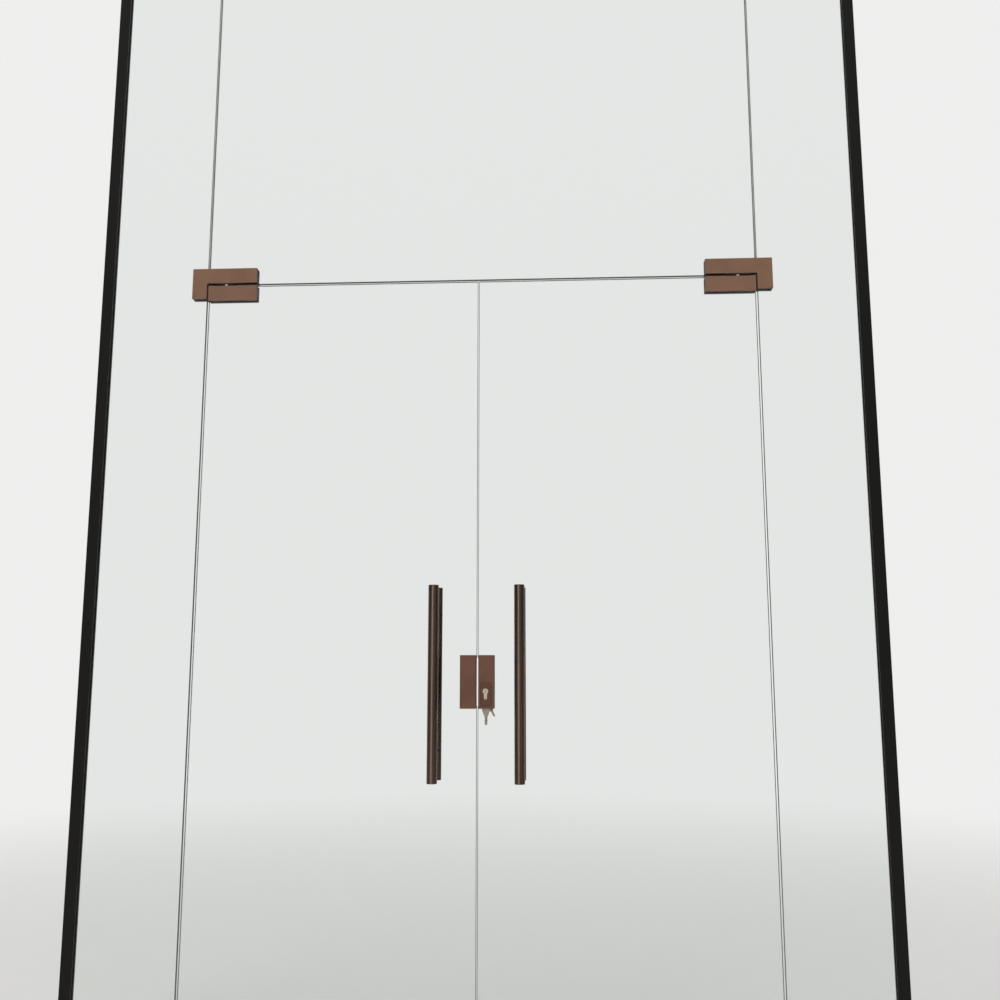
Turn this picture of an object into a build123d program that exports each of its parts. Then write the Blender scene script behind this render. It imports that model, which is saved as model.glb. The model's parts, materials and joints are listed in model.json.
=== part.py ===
from build123d import *

import os

# Frameless double glass entrance door with its fixed glazing.
#
# Two glass leaves swing both ways on floor springs. Each leaf hangs between a top and a bottom patch.
# An L-shaped corner patch beside each leaf carries the top pivot pin and ties the transom to the
# sidelight. The fixed panes stand in channels at the walls, the head and the sills.
#
# Millimetres. X runs along the door to the right, Y runs into the building, Z is up.
# The origin is the middle of the doorway at the finished floor, on the middle plane of the glass.
# Pieces are drawn for the right half and mirrored in the YZ plane for the left half.

# Opening
overall_width = 2530.0
overall_height = 3600.0
door_width = 1814.0  # between the two seams beside the leaves
door_height = 2390.0  # from the finished floor to the seam under the transom

# Glass
glass_thickness = 12.0
glass_arris = 1.2
upright_gap = 6.0  # between a leaf and its sidelight
meeting_gap = 3.0  # between the two leaves
head_gap = 5.0  # between a leaf and the transom
floor_gap = 10.0  # under a leaf
silicone_width = 4.0
glass_corner_radius = 6.0  # inside corners of the cut-outs

# Channels
channel_face = 36.0
channel_across = 30.0
channel_wall = 3.0
channel_edge_radius = 1.0
gasket_width = 3.0
gasket_depth = 8.0
gasket_stand_out = 0.6
gasket_barb = 1.5
glass_to_web = 10.0  # between a pane's edge and the web of a wall or head channel
setting_block_height = 8.0
setting_block_length = 100.0
setting_block_inset = 70.0  # from a pane's corner to the block

# Patches
patch_length = 164.0
patch_height = 51.0
patch_half = 18.0  # from the middle of the glass to the cover's face
patch_side_inset = 0.5  # from the leaf's upright edge
patch_top_inset = 2.0  # below the leaf's top edge
patch_floor_gap = 7.0
cover_wall = 1.5
cover_corner_radius = 2.0
sharp_below = 0.6  # shrunk outlines with a tighter corner than this have a sharp one
cover_bevel = 0.8
seat = 0.3  # clearance where one piece sits in another
pad_thickness = 1.0
corner_reach_out = 51.0  # from the seam, over the sidelight
corner_reach_in = 166.0  # from the seam, over the transom
corner_height = 104.0
corner_setback = 1.5  # from the seam to the upright arm
pivot_setback = 55.0  # from the leaf's upright edge to the pivot axis
block_half = 21.0
block_depth = 38.0
notch_half = 40.0
notch_depth = 43.0

# Pivot pin and bush
pin_radius = 5.0
pin_length_up = 30.0
pin_length_down = 18.0
pin_point = 1.25
pin_fit = 0.05
bush_radius = 8.0
bush_length = 22.0
bush_floor = 1.5  # closed end under the pin

# Clamp screws
screw_radius = 4.0
screw_fit = 0.05
screw_clearance = 0.4
screw_head_radius = 6.5
screw_head_height = 6.0
screw_socket_across = 6.0
screw_socket_depth = 3.5
screw_offset = 31.0  # from the pivot axis
screw_far_offset = 22.0  # from the far end of a patch
glass_hole_radius = 8.0

# Floor spring
spindle_radius = 11.0
spindle_fit = 0.05
spindle_depth = 40.0
spindle_head_length = 26.0
spindle_head_width = 13.5
spindle_head_height = 28.0
spindle_head_fit = 0.1
spindle_bevel = 1.0
spring_housing_width = 82.0
spring_housing_back = 38.0  # from the pivot axis towards the wall
spring_housing_front = 232.0  # from the pivot axis towards the middle of the door
spring_housing_height = 44.0
spring_corner_radius = 12.0
spring_boss_radius = 22.0
spring_post_radius = 6.0
spring_plate_room = 5.0  # between the housing and the cover plate
valve_radius = 6.5
valve_height = 3.0
valve_slot = 1.2
valve_spacing = 24.0
valve_inset = 34.0  # from the housing's far end
floor_box_wall = 2.0
floor_box_room = 10.0
floor_plate_thickness = 1.5
floor_plate_overlap = 3.0
floor_plate_hole_fit = 3.0  # around the spindle

# Pull bars
pull_length = 600.0
pull_radius = 16.0
pull_wall = 1.5
pull_end_thickness = 3.0
pull_bevel = 1.0
pull_x = 133.0
pull_height = 1080.0
pull_offset = 60.0  # from the middle of the glass to the bar's axis
post_spacing = 400.0
post_radius = 10.0
post_saddle_fit = 0.1
stud_radius = 4.0
stud_end = 1.0  # beyond the tube's wall
washer_radius = 12.0

# Lock and strike
lock_width = 50.0
lock_height = 164.0
lock_half = 19.0
lock_centre = 1083.0
lock_edge_inset = 2.0  # from the leaf's meeting edge
lock_core_depth = 38.0
lock_core_height = 120.0
lock_notch_height = 148.0
lock_notch_room = 3.0  # behind the core
bolt_length = 32.0
bolt_height = 34.0
bolt_thickness = 10.0
bolt_rise = 5.0  # from the lock's middle to the bolt's middle
bolt_fit = 0.15
bolt_throw = 20.0
strike_fit = 0.6  # around the thrown bolt
strike_room = 2.0  # beyond its end
escutcheon_width = 34.0
escutcheon_height = 73.0
escutcheon_thickness = 2.0
escutcheon_inset = 7.0  # from the lock's edge and from its lower end
lock_screw_inset = 14.0

# Profile cylinder
cylinder_radius = 8.5
cylinder_leg_width = 10.0
cylinder_height = 33.0
cylinder_stand_out = 1.0
cylinder_x = 23.0  # from the lock's edge
cylinder_z = 53.0  # from the lock's lower end to the plug's axis
cylinder_fit = 0.3
plug_radius = 6.5
plug_fit = 0.05
plug_length = 18.0
keyway_width = 2.6
keyway_height = 8.2
keyway_depth = 15.0

# Keys
key_thickness = 2.2
key_blade_height = 7.8
key_gap = 2.0  # between the plug and the shoulder of the bow
key_bow_length = 22.0
key_bow_width = 25.0
key_hole_radius = 3.0
key_hole_inset = 6.0  # from the end of the bow
ring_radius = 17.0
ring_wire_depth = 1.6  # from the ring's inside to its outside
ring_wire_width = 1.8  # the two turns side by side
ring_turn = 45.0
ring_drop = 0.7  # from a bow hole's middle to the wire that hangs in it
bow_rim = 0.9  # metal between a spare key's hole and its end
spare_bow_length = 29.0
spare_taper_length = 20.0
spare_blade_length = 25.0
spare_blade_width = 9.0
short_key_scale = 0.72
short_key_lean = 29.0
spare_key_spacing = 1.7  # from the ring's lowest point to each key's middle

# Places that follow from the sizes
glass_face = glass_thickness / 2
pad_face = glass_face + pad_thickness
seam_x = door_width / 2
leaf_edge_x = seam_x - upright_gap / 2
leaf_meet_x = meeting_gap / 2
side_edge_x = seam_x + upright_gap / 2
transom_edge_x = side_edge_x - silicone_width
wall_x = overall_width / 2
wall_mouth_x = wall_x - channel_face
head_mouth_z = overall_height - channel_face
leaf_top_z = door_height - head_gap / 2
transom_bottom_z = door_height + head_gap / 2
fixed_top_z = overall_height - channel_wall - glass_to_web
side_wall_x = wall_x - channel_wall - glass_to_web
side_bottom_z = channel_wall + setting_block_height
pivot_x = leaf_edge_x - pivot_setback
patch_out_x = leaf_edge_x - patch_side_inset
patch_in_x = patch_out_x - patch_length
top_patch_z = leaf_top_z - patch_top_inset
corner_bottom_z = transom_bottom_z + patch_top_inset
corner_top_z = corner_bottom_z + patch_height
cup_inset = cover_wall + seat
body_face = patch_half - cup_inset
lock_x = leaf_meet_x + lock_edge_inset
lock_bottom_z = lock_centre - lock_height / 2
lock_body_face = lock_half - cup_inset
cylinder_axis_x = lock_x + cylinder_x
cylinder_axis_z = lock_bottom_z + cylinder_z
cylinder_end = lock_half + escutcheon_thickness + cylinder_stand_out
bolt_centre = lock_centre + bolt_rise
key_hole_y = cylinder_end + key_gap + key_bow_length - key_hole_inset
ring_centre_z = cylinder_axis_z - ring_drop - ring_radius
spring_top_z = -floor_plate_thickness


def span(x0, x1, y0, y1, z0, z1):
    """A box between two corners, given in any order."""
    centre = ((x0 + x1) / 2, (y0 + y1) / 2, (z0 + z1) / 2)
    return Pos(*centre) * Box(abs(x1 - x0), abs(y1 - y0), abs(z1 - z0))


def area(x0, x1, z0, z1, radius=0.0):
    """A rectangle in the plane of the door, with rounded corners if a radius is given."""
    width = abs(x1 - x0)
    height = abs(z1 - z0)
    if radius > 0:
        sheet = RectangleRounded(width, height, radius)
    else:
        sheet = Rectangle(width, height)
    return Pos((x0 + x1) / 2, (z0 + z1) / 2) * sheet


def slab(sheet, y0, y1):
    """A sheet drawn in the plane of the door, given its thickness from y0 to y1."""
    low, high = min(y0, y1), max(y0, y1)
    return extrude(Plane.XZ.offset(-high) * sheet, amount=high - low)


def rod(radius, x, z, y0, y1):
    """A round bar across the door."""
    return Pos(x, (y0 + y1) / 2, z) * Rot(90, 0, 0) * Cylinder(radius, abs(y1 - y0))


def post(radius, x, y, z0, z1):
    """A round upright bar."""
    return Pos(x, y, (z0 + z1) / 2) * Cylinder(radius, abs(z1 - z0))


def group(pieces):
    """Separate solids that are kept together as one named piece."""
    return Compound([solid for piece in pieces for solid in piece.solids()])


def left(piece):
    """The left-hand twin of a piece of the right half."""
    return mirror(piece, about=Plane.YZ)


# Outlines of the fittings, shrunk by an inset

def shrunk_corner(inset):
    """The corner radius of an outline that is shrunk by an inset."""
    radius = cover_corner_radius - inset
    return radius if radius > sharp_below else 0.0


def door_patch_outline(edge_z, inward, inset):
    """The outline of a door patch. Inward is the way from its outer edge to the leaf's middle."""
    low, high = sorted((edge_z, edge_z + inward * patch_height))
    return area(patch_in_x + inset, patch_out_x - inset, low + inset, high - inset, shrunk_corner(inset))


def corner_patch_outline(inset):
    """The L of a corner patch: one arm along the transom, one down the sidelight."""
    far_x = seam_x - corner_reach_in + inset
    near_x = seam_x + corner_reach_out - inset
    arm_x = seam_x + corner_setback + inset
    top_z = corner_top_z - inset
    arm_z = corner_bottom_z + inset
    foot_z = corner_top_z - corner_height + inset
    points = [
        (far_x, top_z), (near_x, top_z), (near_x, foot_z), (arm_x, foot_z), (arm_x, arm_z), (far_x, arm_z)
    ]
    sheet = make_face(Polyline(*points, close=True))
    radius = shrunk_corner(inset)
    return fillet(sheet.vertices(), radius) if radius > 0 else sheet


def lock_outline(inset):
    """The outline of the lock, which the strike shares."""
    x0, x1 = lock_x + inset, lock_x + lock_width - inset
    z0, z1 = lock_bottom_z + inset, lock_bottom_z + lock_height - inset
    return area(x0, x1, z0, z1, shrunk_corner(inset))


# Pieces that every clamped fitting has

def cover(outline, half, side):
    """A cup over one face of a fitting. Side is -1 outside and 1 inside the building."""
    shell = slab(outline(0), side * (glass_face + seat), side * half)
    face = shell.faces().sort_by(Axis.Y)[0 if side < 0 else -1]
    shell = chamfer(face.edges(), cover_bevel)
    return shell - slab(outline(cover_wall), 0, side * (half - cover_wall))


def clamp_half(outline, face, side):
    """The cast plate under a cover, from the pad out to the cover."""
    return slab(outline(cup_inset), side * pad_face, side * face)


def pads(outline, openings):
    """The two pads between a fitting's plates and the glass."""
    sheet = outline(cup_inset)
    for opening in openings:
        sheet -= opening
    return [slab(sheet, side * glass_face, side * pad_face) for side in (-1, 1)]


def clamp_screw(x, z, face):
    """A socket-head screw from the outside plate to a tapped hole in the inside plate."""
    head_end = -(face - screw_head_height)
    screw = rod(screw_head_radius, x, z, -face, head_end)
    screw += rod(screw_radius, x, z, head_end, face - pad_thickness)
    socket = Pos(x, -face, z) * Rot(90, 0, 0) * extrude(
        RegularPolygon(screw_socket_across / 2, 6, major_radius=False), amount=screw_socket_depth, both=True
    )
    return screw - socket


def drilled(outside, inside, places, face):
    """Both plates with their screw holes: counterbored outside, tapped inside."""
    for x, z in places:
        outside -= rod(screw_radius + screw_clearance, x, z, -face, -glass_face)
        outside -= rod(screw_head_radius + screw_clearance, x, z, -face, -(face - screw_head_height))
        inside -= rod(screw_radius + screw_fit, x, z, glass_face, face)
    return outside, inside


def hole_areas(places, radius):
    """Round openings for pads and glass."""
    return [Pos(x, z) * Circle(radius) for x, z in places]


# Channels

def channel_section():
    """The section of a glazing channel: web at the back, two legs, two lips at the mouth."""
    mouth = glass_thickness + 2 * gasket_width
    section = RectangleRounded(channel_across, channel_face, channel_edge_radius)
    cavity = Rectangle(channel_across - 2 * channel_wall, channel_face - 2 * channel_wall)
    return section - cavity - Pos(0, channel_face / 2) * Rectangle(mouth, 2 * channel_wall)


def channel(length, plane):
    """A length of channel. The plane's Y is the way out of the mouth."""
    return extrude(plane * Pos(0, channel_face / 2) * channel_section(), amount=length)


def wall_channel():
    plane = Plane((wall_x, 0, 0), x_dir=(0, 1, 0), z_dir=(0, 0, 1))
    return channel(overall_height, plane)


def head_channel():
    plane = Plane((-wall_mouth_x, 0, overall_height), x_dir=(0, -1, 0), z_dir=(1, 0, 0))
    return channel(2 * wall_mouth_x, plane)


def sill_channel():
    plane = Plane((side_edge_x, 0, 0), x_dir=(0, 1, 0), z_dir=(1, 0, 0))
    return channel(wall_mouth_x - side_edge_x, plane)


def gasket_section(side):
    """A wedge gasket between the glass and a lip, with a barb behind the lip."""
    lip = glass_face + gasket_width
    points = [
        (side * glass_face, gasket_stand_out),
        (side * lip, gasket_stand_out),
        (side * lip, -channel_wall),
        (side * (lip + gasket_barb), -channel_wall),
        (side * lip, -gasket_depth),
        (side * glass_face, -gasket_depth),
    ]
    return make_face(Polyline(*points, close=True))


def gasket_pair(length, plane):
    """The gaskets on both faces of a pane. The plane's Y is the way out of the mouth."""
    return [extrude(plane * gasket_section(side), amount=length) for side in (-1, 1)]


def channel_gaskets():
    upright = Plane((wall_mouth_x, 0, channel_face), x_dir=(0, 1, 0), z_dir=(0, 0, 1))
    pieces = gasket_pair(head_mouth_z - channel_face, upright)
    sill = Plane((side_edge_x, 0, channel_face), x_dir=(0, 1, 0), z_dir=(1, 0, 0))
    pieces += gasket_pair(wall_mouth_x - side_edge_x, sill)
    pieces += [left(piece) for piece in pieces]
    head = Plane((-wall_mouth_x, 0, head_mouth_z), x_dir=(0, -1, 0), z_dir=(1, 0, 0))
    return group(pieces + gasket_pair(2 * wall_mouth_x, head))


def setting_blocks():
    """Blocks under the sidelights and between their edges and the wall channels."""
    half = glass_face + gasket_width
    pieces = []
    near_x = side_edge_x + setting_block_inset
    far_x = wall_mouth_x - setting_block_length
    for x in (near_x, far_x):
        pieces.append(span(x, x + setting_block_length, -half, half, channel_wall, side_bottom_z))
    low_z = side_bottom_z + setting_block_inset
    high_z = fixed_top_z - setting_block_inset - setting_block_length
    for z in (low_z, (low_z + high_z) / 2, high_z):
        pieces.append(span(side_wall_x, wall_x - channel_wall, -half, half, z, z + setting_block_length))
    return group(pieces + [left(piece) for piece in pieces])


# Glass

def pane(sheet):
    """A pane cut from a sheet, with ground arrises along every edge of both faces."""
    glass = slab(sheet, -glass_face, glass_face)
    faces = glass.faces().filter_by(Axis.Y)
    return chamfer(faces.edges(), glass_arris)


def patch_screws(edge_z, inward):
    """Places of the screws of a door patch: two beside the pivot block, one at the far end."""
    z = edge_z + inward * patch_height / 2
    return [(pivot_x - screw_offset, z), (pivot_x + screw_offset, z), (patch_in_x + screw_far_offset, z)]


def corner_screws():
    """Places of a corner patch's screws: over the transom's notch, its far end, and the sidelight."""
    arm_z = corner_bottom_z + patch_height / 2
    side_x = seam_x + (corner_setback + corner_reach_out) / 2
    foot_z = corner_top_z - corner_height + screw_far_offset
    far_x = seam_x - corner_reach_in + screw_far_offset
    over_transom = [(pivot_x - screw_offset, arm_z), (pivot_x + screw_offset, arm_z), (far_x, arm_z)]
    return over_transom, [(side_x, arm_z), (side_x, foot_z)]


def notch(edge_z, inward):
    """The cut-out in a glass edge that takes a pivot block and its two screws."""
    deep_z = edge_z + inward * notch_depth
    outside_z = edge_z - inward * notch_depth
    return area(pivot_x - notch_half, pivot_x + notch_half, outside_z, deep_z, glass_corner_radius)


def lock_notch():
    """The cut-out in a leaf's meeting edge that takes the core of the lock or the strike."""
    deep_x = lock_x + lock_core_depth + lock_notch_room
    half = lock_notch_height / 2
    return area(-deep_x, deep_x, lock_centre - half, lock_centre + half, glass_corner_radius)


def pull_places():
    return [(pull_x, pull_height - post_spacing / 2), (pull_x, pull_height + post_spacing / 2)]


def leaf_glass():
    sheet = area(leaf_meet_x, leaf_edge_x, floor_gap, leaf_top_z)
    sheet -= notch(leaf_top_z, -1)
    sheet -= notch(floor_gap, 1)
    sheet -= lock_notch()
    far_holes = [patch_screws(top_patch_z, -1)[2], patch_screws(patch_floor_gap, 1)[2]]
    for hole in hole_areas(far_holes + pull_places(), glass_hole_radius):
        sheet -= hole
    return pane(sheet)


def sidelight_glass():
    sheet = area(side_edge_x, side_wall_x, side_bottom_z, fixed_top_z)
    for hole in hole_areas(corner_screws()[1], glass_hole_radius):
        sheet -= hole
    return pane(sheet)


def transom_glass():
    sheet = area(-transom_edge_x, transom_edge_x, transom_bottom_z, fixed_top_z)
    cut = notch(transom_bottom_z, 1)
    hole = hole_areas([corner_screws()[0][2]], glass_hole_radius)[0]
    for opening in (cut, hole):
        sheet -= opening
        sheet -= mirror(opening, about=Plane.YZ)
    return pane(sheet)


def silicone_joints():
    half = glass_face - glass_arris
    joint = span(transom_edge_x, side_edge_x, -half, half, transom_bottom_z, fixed_top_z)
    return group([joint, left(joint)])


# Corner patch

def corner_block():
    """The part of a corner patch's casting that fills the transom's notch and holds the pin."""
    low_z = corner_bottom_z + cup_inset
    high_z = low_z + block_depth
    return span(pivot_x - block_half, pivot_x + block_half, -body_face, body_face, low_z, high_z)


def corner_patch_body():
    places = sum(corner_screws(), [])
    outside = clamp_half(corner_patch_outline, body_face, -1)
    inside = clamp_half(corner_patch_outline, body_face, 1)
    outside, inside = drilled(outside, inside, places, body_face)
    low_z = corner_bottom_z
    room = block_half + seat
    high_z = low_z + cup_inset + block_depth + seat
    inside -= span(pivot_x - room, pivot_x + room, glass_face, patch_half, low_z, high_z)
    outside += corner_block()
    outside -= post(pin_radius + pin_fit, pivot_x, 0, corner_bottom_z, corner_bottom_z + pin_length_up)
    return group([outside, inside])


def corner_patch_covers():
    return group([cover(corner_patch_outline, patch_half, side) for side in (-1, 1)])


def corner_patch_pads():
    over_transom, over_sidelight = corner_screws()
    holes = hole_areas([over_transom[2]] + over_sidelight, glass_hole_radius)
    return pads(corner_patch_outline, [notch(transom_bottom_z, 1)] + holes)


def top_pivot_pin():
    """The pin that stands down out of the corner patch into the leaf's bush, with a pointed tip."""
    low_z = top_patch_z - pin_length_down
    pin = post(pin_radius, pivot_x, 0, low_z, corner_bottom_z + pin_length_up)
    return chamfer(pin.faces().sort_by(Axis.Z)[0].edges(), pin_point)


# Door patches

def door_patch(edge_z, inward):
    """Outline, screws, casting halves and covers of a door patch at one end of a leaf."""

    def outline(inset):
        return door_patch_outline(edge_z, inward, inset)

    places = patch_screws(edge_z, inward)
    outside = clamp_half(outline, body_face, -1)
    inside = clamp_half(outline, body_face, 1)
    outside, inside = drilled(outside, inside, places, body_face)
    near_z = edge_z + inward * cup_inset
    far_z = near_z + inward * block_depth
    room = block_half + seat
    inside -= span(pivot_x - room, pivot_x + room, glass_face, patch_half, edge_z, far_z + inward * seat)
    outside += span(pivot_x - block_half, pivot_x + block_half, -body_face, body_face, near_z, far_z)
    return outline, places, outside, inside


def top_patch():
    """The casting has a bush bore from above. The covers leave a slot for the pin."""
    outline, places, outside, inside = door_patch(top_patch_z, -1)
    bush_low_z = top_patch_z - cup_inset - bush_length
    outside -= post(bush_radius, pivot_x, 0, bush_low_z, top_patch_z)
    covers = [cover(outline, patch_half, side) for side in (-1, 1)]
    screws = [clamp_screw(x, z, body_face) for x, z in places]
    openings = [notch(leaf_top_z, -1)] + hole_areas([places[2]], glass_hole_radius)
    return group([outside, inside]), group(covers), screws, pads(outline, openings)


def pivot_bush():
    high_z = top_patch_z - cup_inset
    bush = post(bush_radius, pivot_x, 0, high_z - bush_length, high_z)
    return bush - post(pin_radius + pin_fit, pivot_x, 0, high_z - bush_length + bush_floor, high_z)


def spindle_head(fit, height):
    half_length = spindle_head_length / 2 + fit
    half_width = spindle_head_width / 2 + fit
    high_z = patch_floor_gap + height
    return span(
        pivot_x - half_length, pivot_x + half_length, -half_width, half_width, patch_floor_gap, high_z
    )


def bottom_patch():
    """The casting has a flat-sided socket for the floor spring's spindle, and the covers clear it."""
    outline, places, outside, inside = door_patch(patch_floor_gap, 1)
    outside -= spindle_head(spindle_head_fit, spindle_head_height + spindle_head_fit)
    room = spindle_head_length / 2 + seat
    around = span(
        pivot_x - room, pivot_x + room, -room, room, patch_floor_gap, patch_floor_gap + cup_inset
    )
    covers = [cover(outline, patch_half, side) - around for side in (-1, 1)]
    screws = [clamp_screw(x, z, body_face) for x, z in places]
    openings = [notch(floor_gap, 1)] + hole_areas([places[2]], glass_hole_radius)
    return group([outside, inside]), group(covers), screws, pads(outline, openings)


def floor_spindle():
    """The spindle turns with the leaf: round in the spring, flat-sided in the patch."""
    shaft = post(spindle_radius, pivot_x, 0, spring_top_z - spindle_depth, patch_floor_gap)
    head = spindle_head(0, spindle_head_height)
    head = chamfer(head.faces().sort_by(Axis.Z)[-1].edges(), spindle_bevel)
    return shaft + head


# Floor springs

def floor_outline(room):
    """The plan of a floor spring's housing, grown by some room."""
    x0 = pivot_x - spring_housing_front - room
    x1 = pivot_x + spring_housing_back + room
    centre = ((x0 + x1) / 2, 0)
    return Pos(*centre) * Rectangle(x1 - x0, spring_housing_width + 2 * room)


def spring_posts():
    """Places of the four posts that carry the cover plate, in the housing's rounded corners."""
    x0 = pivot_x - spring_housing_front + spring_corner_radius
    x1 = pivot_x + spring_housing_back - spring_corner_radius
    y = spring_housing_width / 2 - spring_corner_radius
    return [(x, side * y) for x in (x0, x1) for side in (-1, 1)]


def floor_spring():
    """The cast housing: a boss around the spindle, posts for the plate and two slotted speed valves."""
    high_z = spring_top_z - spring_plate_room
    low_z = high_z - spring_housing_height
    body = extrude(Pos(0, 0, low_z) * floor_outline(0), amount=spring_housing_height)
    body = fillet(body.edges().filter_by(Axis.Z), spring_corner_radius)
    body += post(spring_boss_radius, pivot_x, 0, high_z, spring_top_z - seat)
    for x, y in spring_posts():
        body += post(spring_post_radius, x, y, high_z, spring_top_z)
    valve_x = pivot_x - spring_housing_front + valve_inset
    for side in (-1, 1):
        y = side * valve_spacing / 2
        top_z = high_z + valve_height
        body += post(valve_radius, valve_x, y, high_z, top_z)
        body -= span(
            valve_x - valve_radius, valve_x + valve_radius, y - valve_slot / 2, y + valve_slot / 2,
            top_z - valve_slot, top_z,
        )
    return body - post(spindle_radius + spindle_fit, pivot_x, 0, spring_top_z - spindle_depth - seat, 0)


def floor_box():
    """The sheet box that is cast into the floor, open at the top."""
    room = floor_box_room + floor_box_wall
    low_z = spring_top_z - spring_plate_room - spring_housing_height - floor_box_wall
    box = extrude(Pos(0, 0, low_z) * floor_outline(room), amount=spring_top_z - low_z)
    inside = floor_outline(floor_box_room)
    return box - extrude(Pos(0, 0, low_z + floor_box_wall) * inside, amount=-low_z)


def floor_plate():
    """The cover plate, flush with the floor, with a hole for the spindle."""
    room = floor_box_room + floor_box_wall + floor_plate_overlap
    plate = extrude(Pos(0, 0, spring_top_z) * floor_outline(room), amount=floor_plate_thickness)
    return plate - post(spindle_radius + floor_plate_hole_fit, pivot_x, 0, spring_top_z, 0)


# Pull bars

def pull_bar(side):
    """A tube with closed, lightly bevelled ends and a hole where each stud goes in."""
    y = side * pull_offset
    half = pull_length / 2
    bar = post(pull_radius, pull_x, y, pull_height - half, pull_height + half)
    bar = chamfer(bar.edges().filter_by(GeomType.CIRCLE), pull_bevel)
    hollow = half - pull_end_thickness
    bar -= post(pull_radius - pull_wall, pull_x, y, pull_height - hollow, pull_height + hollow)
    for x, z in pull_places():
        bar -= rod(stud_radius + screw_fit, x, z, side * (pull_offset - 2 * pull_radius), y)
    return bar


def pull_posts():
    """Four posts between the glass and the bars, each with a saddle end that fits its bar."""
    pieces = []
    half = pull_length / 2
    for side in (-1, 1):
        y = side * pull_offset
        around = post(pull_radius + post_saddle_fit, pull_x, y, pull_height - half, pull_height + half)
        for x, z in pull_places():
            leg = rod(post_radius, x, z, side * pad_face, y)
            leg -= rod(stud_radius + screw_fit, x, z, side * glass_face, y)
            pieces.append(leg - around)
    return group(pieces)


def pull_studs():
    """One stud through the glass and both posts for each pair of posts."""
    reach = pull_offset - pull_radius + pull_wall + stud_end
    return [rod(stud_radius, x, z, -reach, reach) for x, z in pull_places()]


def pull_washers():
    pieces = []
    for x, z in pull_places():
        ring = Pos(x, z) * (Circle(washer_radius) - Circle(stud_radius + screw_clearance))
        pieces += [slab(ring, side * glass_face, side * pad_face) for side in (-1, 1)]
    return pieces


# Lock and strike

def lock_screws():
    """Places of the screws of the lock and of the strike, beyond the core but inside the cut-out."""
    x = lock_x + lock_width / 2
    return [(x, lock_bottom_z + lock_screw_inset), (x, lock_bottom_z + lock_height - lock_screw_inset)]


def lock_body():
    """Both plates, with the core that fills the cut-out in the glass on the outside plate.

    The core's narrow nose stands between the covers, flush with their edges.
    """
    outside = clamp_half(lock_outline, lock_body_face, -1)
    inside = clamp_half(lock_outline, lock_body_face, 1)
    outside, inside = drilled(outside, inside, lock_screws(), lock_body_face)
    low_z = lock_centre - lock_core_height / 2
    high_z = lock_centre + lock_core_height / 2
    nose_x = lock_x + cup_inset
    outside += span(nose_x, lock_x + lock_core_depth, -pad_face, pad_face, low_z, high_z)
    outside += span(lock_x, nose_x, -glass_face, glass_face, low_z, high_z)
    return outside, inside


def euro_profile(fit):
    """The section of a profile cylinder: a round over a straight leg with a round foot."""
    leg_radius = cylinder_leg_width / 2
    foot_z = cylinder_radius - cylinder_height + leg_radius
    sheet = Circle(cylinder_radius + fit)
    sheet += Pos(0, foot_z) * Circle(leg_radius + fit)
    sheet += Pos(0, foot_z / 2) * Rectangle(cylinder_leg_width + 2 * fit, -foot_z)
    return Pos(cylinder_axis_x, cylinder_axis_z) * sheet


def cylinder_opening():
    return slab(euro_profile(cylinder_fit), -2 * cylinder_end, 2 * cylinder_end)


def bolt_span(fit, x0, x1):
    half_height = bolt_height / 2 + fit
    half = bolt_thickness / 2 + fit
    return span(x0, x1, -half, half, bolt_centre - half_height, bolt_centre + half_height)


def lock_case():
    outside, inside = lock_body()
    outside -= cylinder_opening()
    inside -= cylinder_opening()
    outside -= bolt_span(bolt_fit, lock_x, lock_x + bolt_length + bolt_fit)
    return group([outside, inside])


def lock_covers():
    return group([cover(lock_outline, lock_half, side) - cylinder_opening() for side in (-1, 1)])


def strike_case():
    """Drawn as the lock's twin and mirrored, with a pocket that takes the thrown bolt."""
    outside, inside = lock_body()
    depth = bolt_throw - 2 * lock_x + strike_room
    outside -= bolt_span(strike_fit, lock_x, lock_x + depth)
    return left(group([outside, inside]))


def strike_covers():
    return left(group([cover(lock_outline, lock_half, side) for side in (-1, 1)]))


def deadbolt():
    bolt = bolt_span(0, lock_x, lock_x + bolt_length)
    return chamfer(bolt.faces().sort_by(Axis.X)[0].edges(), glass_arris)


def lock_escutcheons():
    """A raised plate around the cylinder on each face."""
    x0 = lock_x + escutcheon_inset
    z0 = lock_bottom_z + escutcheon_inset
    sheet = area(x0, x0 + escutcheon_width, z0, z0 + escutcheon_height, cover_corner_radius)
    pieces = []
    for side in (-1, 1):
        plate = slab(sheet, side * lock_half, side * (lock_half + escutcheon_thickness))
        face = plate.faces().sort_by(Axis.Y)[0 if side < 0 else -1]
        plate = chamfer(face.edges(), cover_bevel)
        pieces.append(plate - cylinder_opening())
    return group(pieces)


def lock_cylinder():
    body = slab(euro_profile(0), -cylinder_end, cylinder_end)
    for side in (-1, 1):
        bottom = side * (cylinder_end - plug_length - plug_fit)
        body -= rod(plug_radius + plug_fit, cylinder_axis_x, cylinder_axis_z, bottom, side * cylinder_end)
    return body


def plug(side):
    """A plug with its keyway, set a little below the cylinder's end."""
    end = cylinder_end - seat
    bottom = cylinder_end - plug_length
    body = rod(plug_radius, cylinder_axis_x, cylinder_axis_z, side * end, side * bottom)
    half_width = keyway_width / 2
    half_height = keyway_height / 2
    slot = span(
        cylinder_axis_x - half_width,
        cylinder_axis_x + half_width,
        side * end,
        side * (end - keyway_depth),
        cylinder_axis_z - half_height,
        cylinder_axis_z + half_height,
    )
    return body - slot


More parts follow.
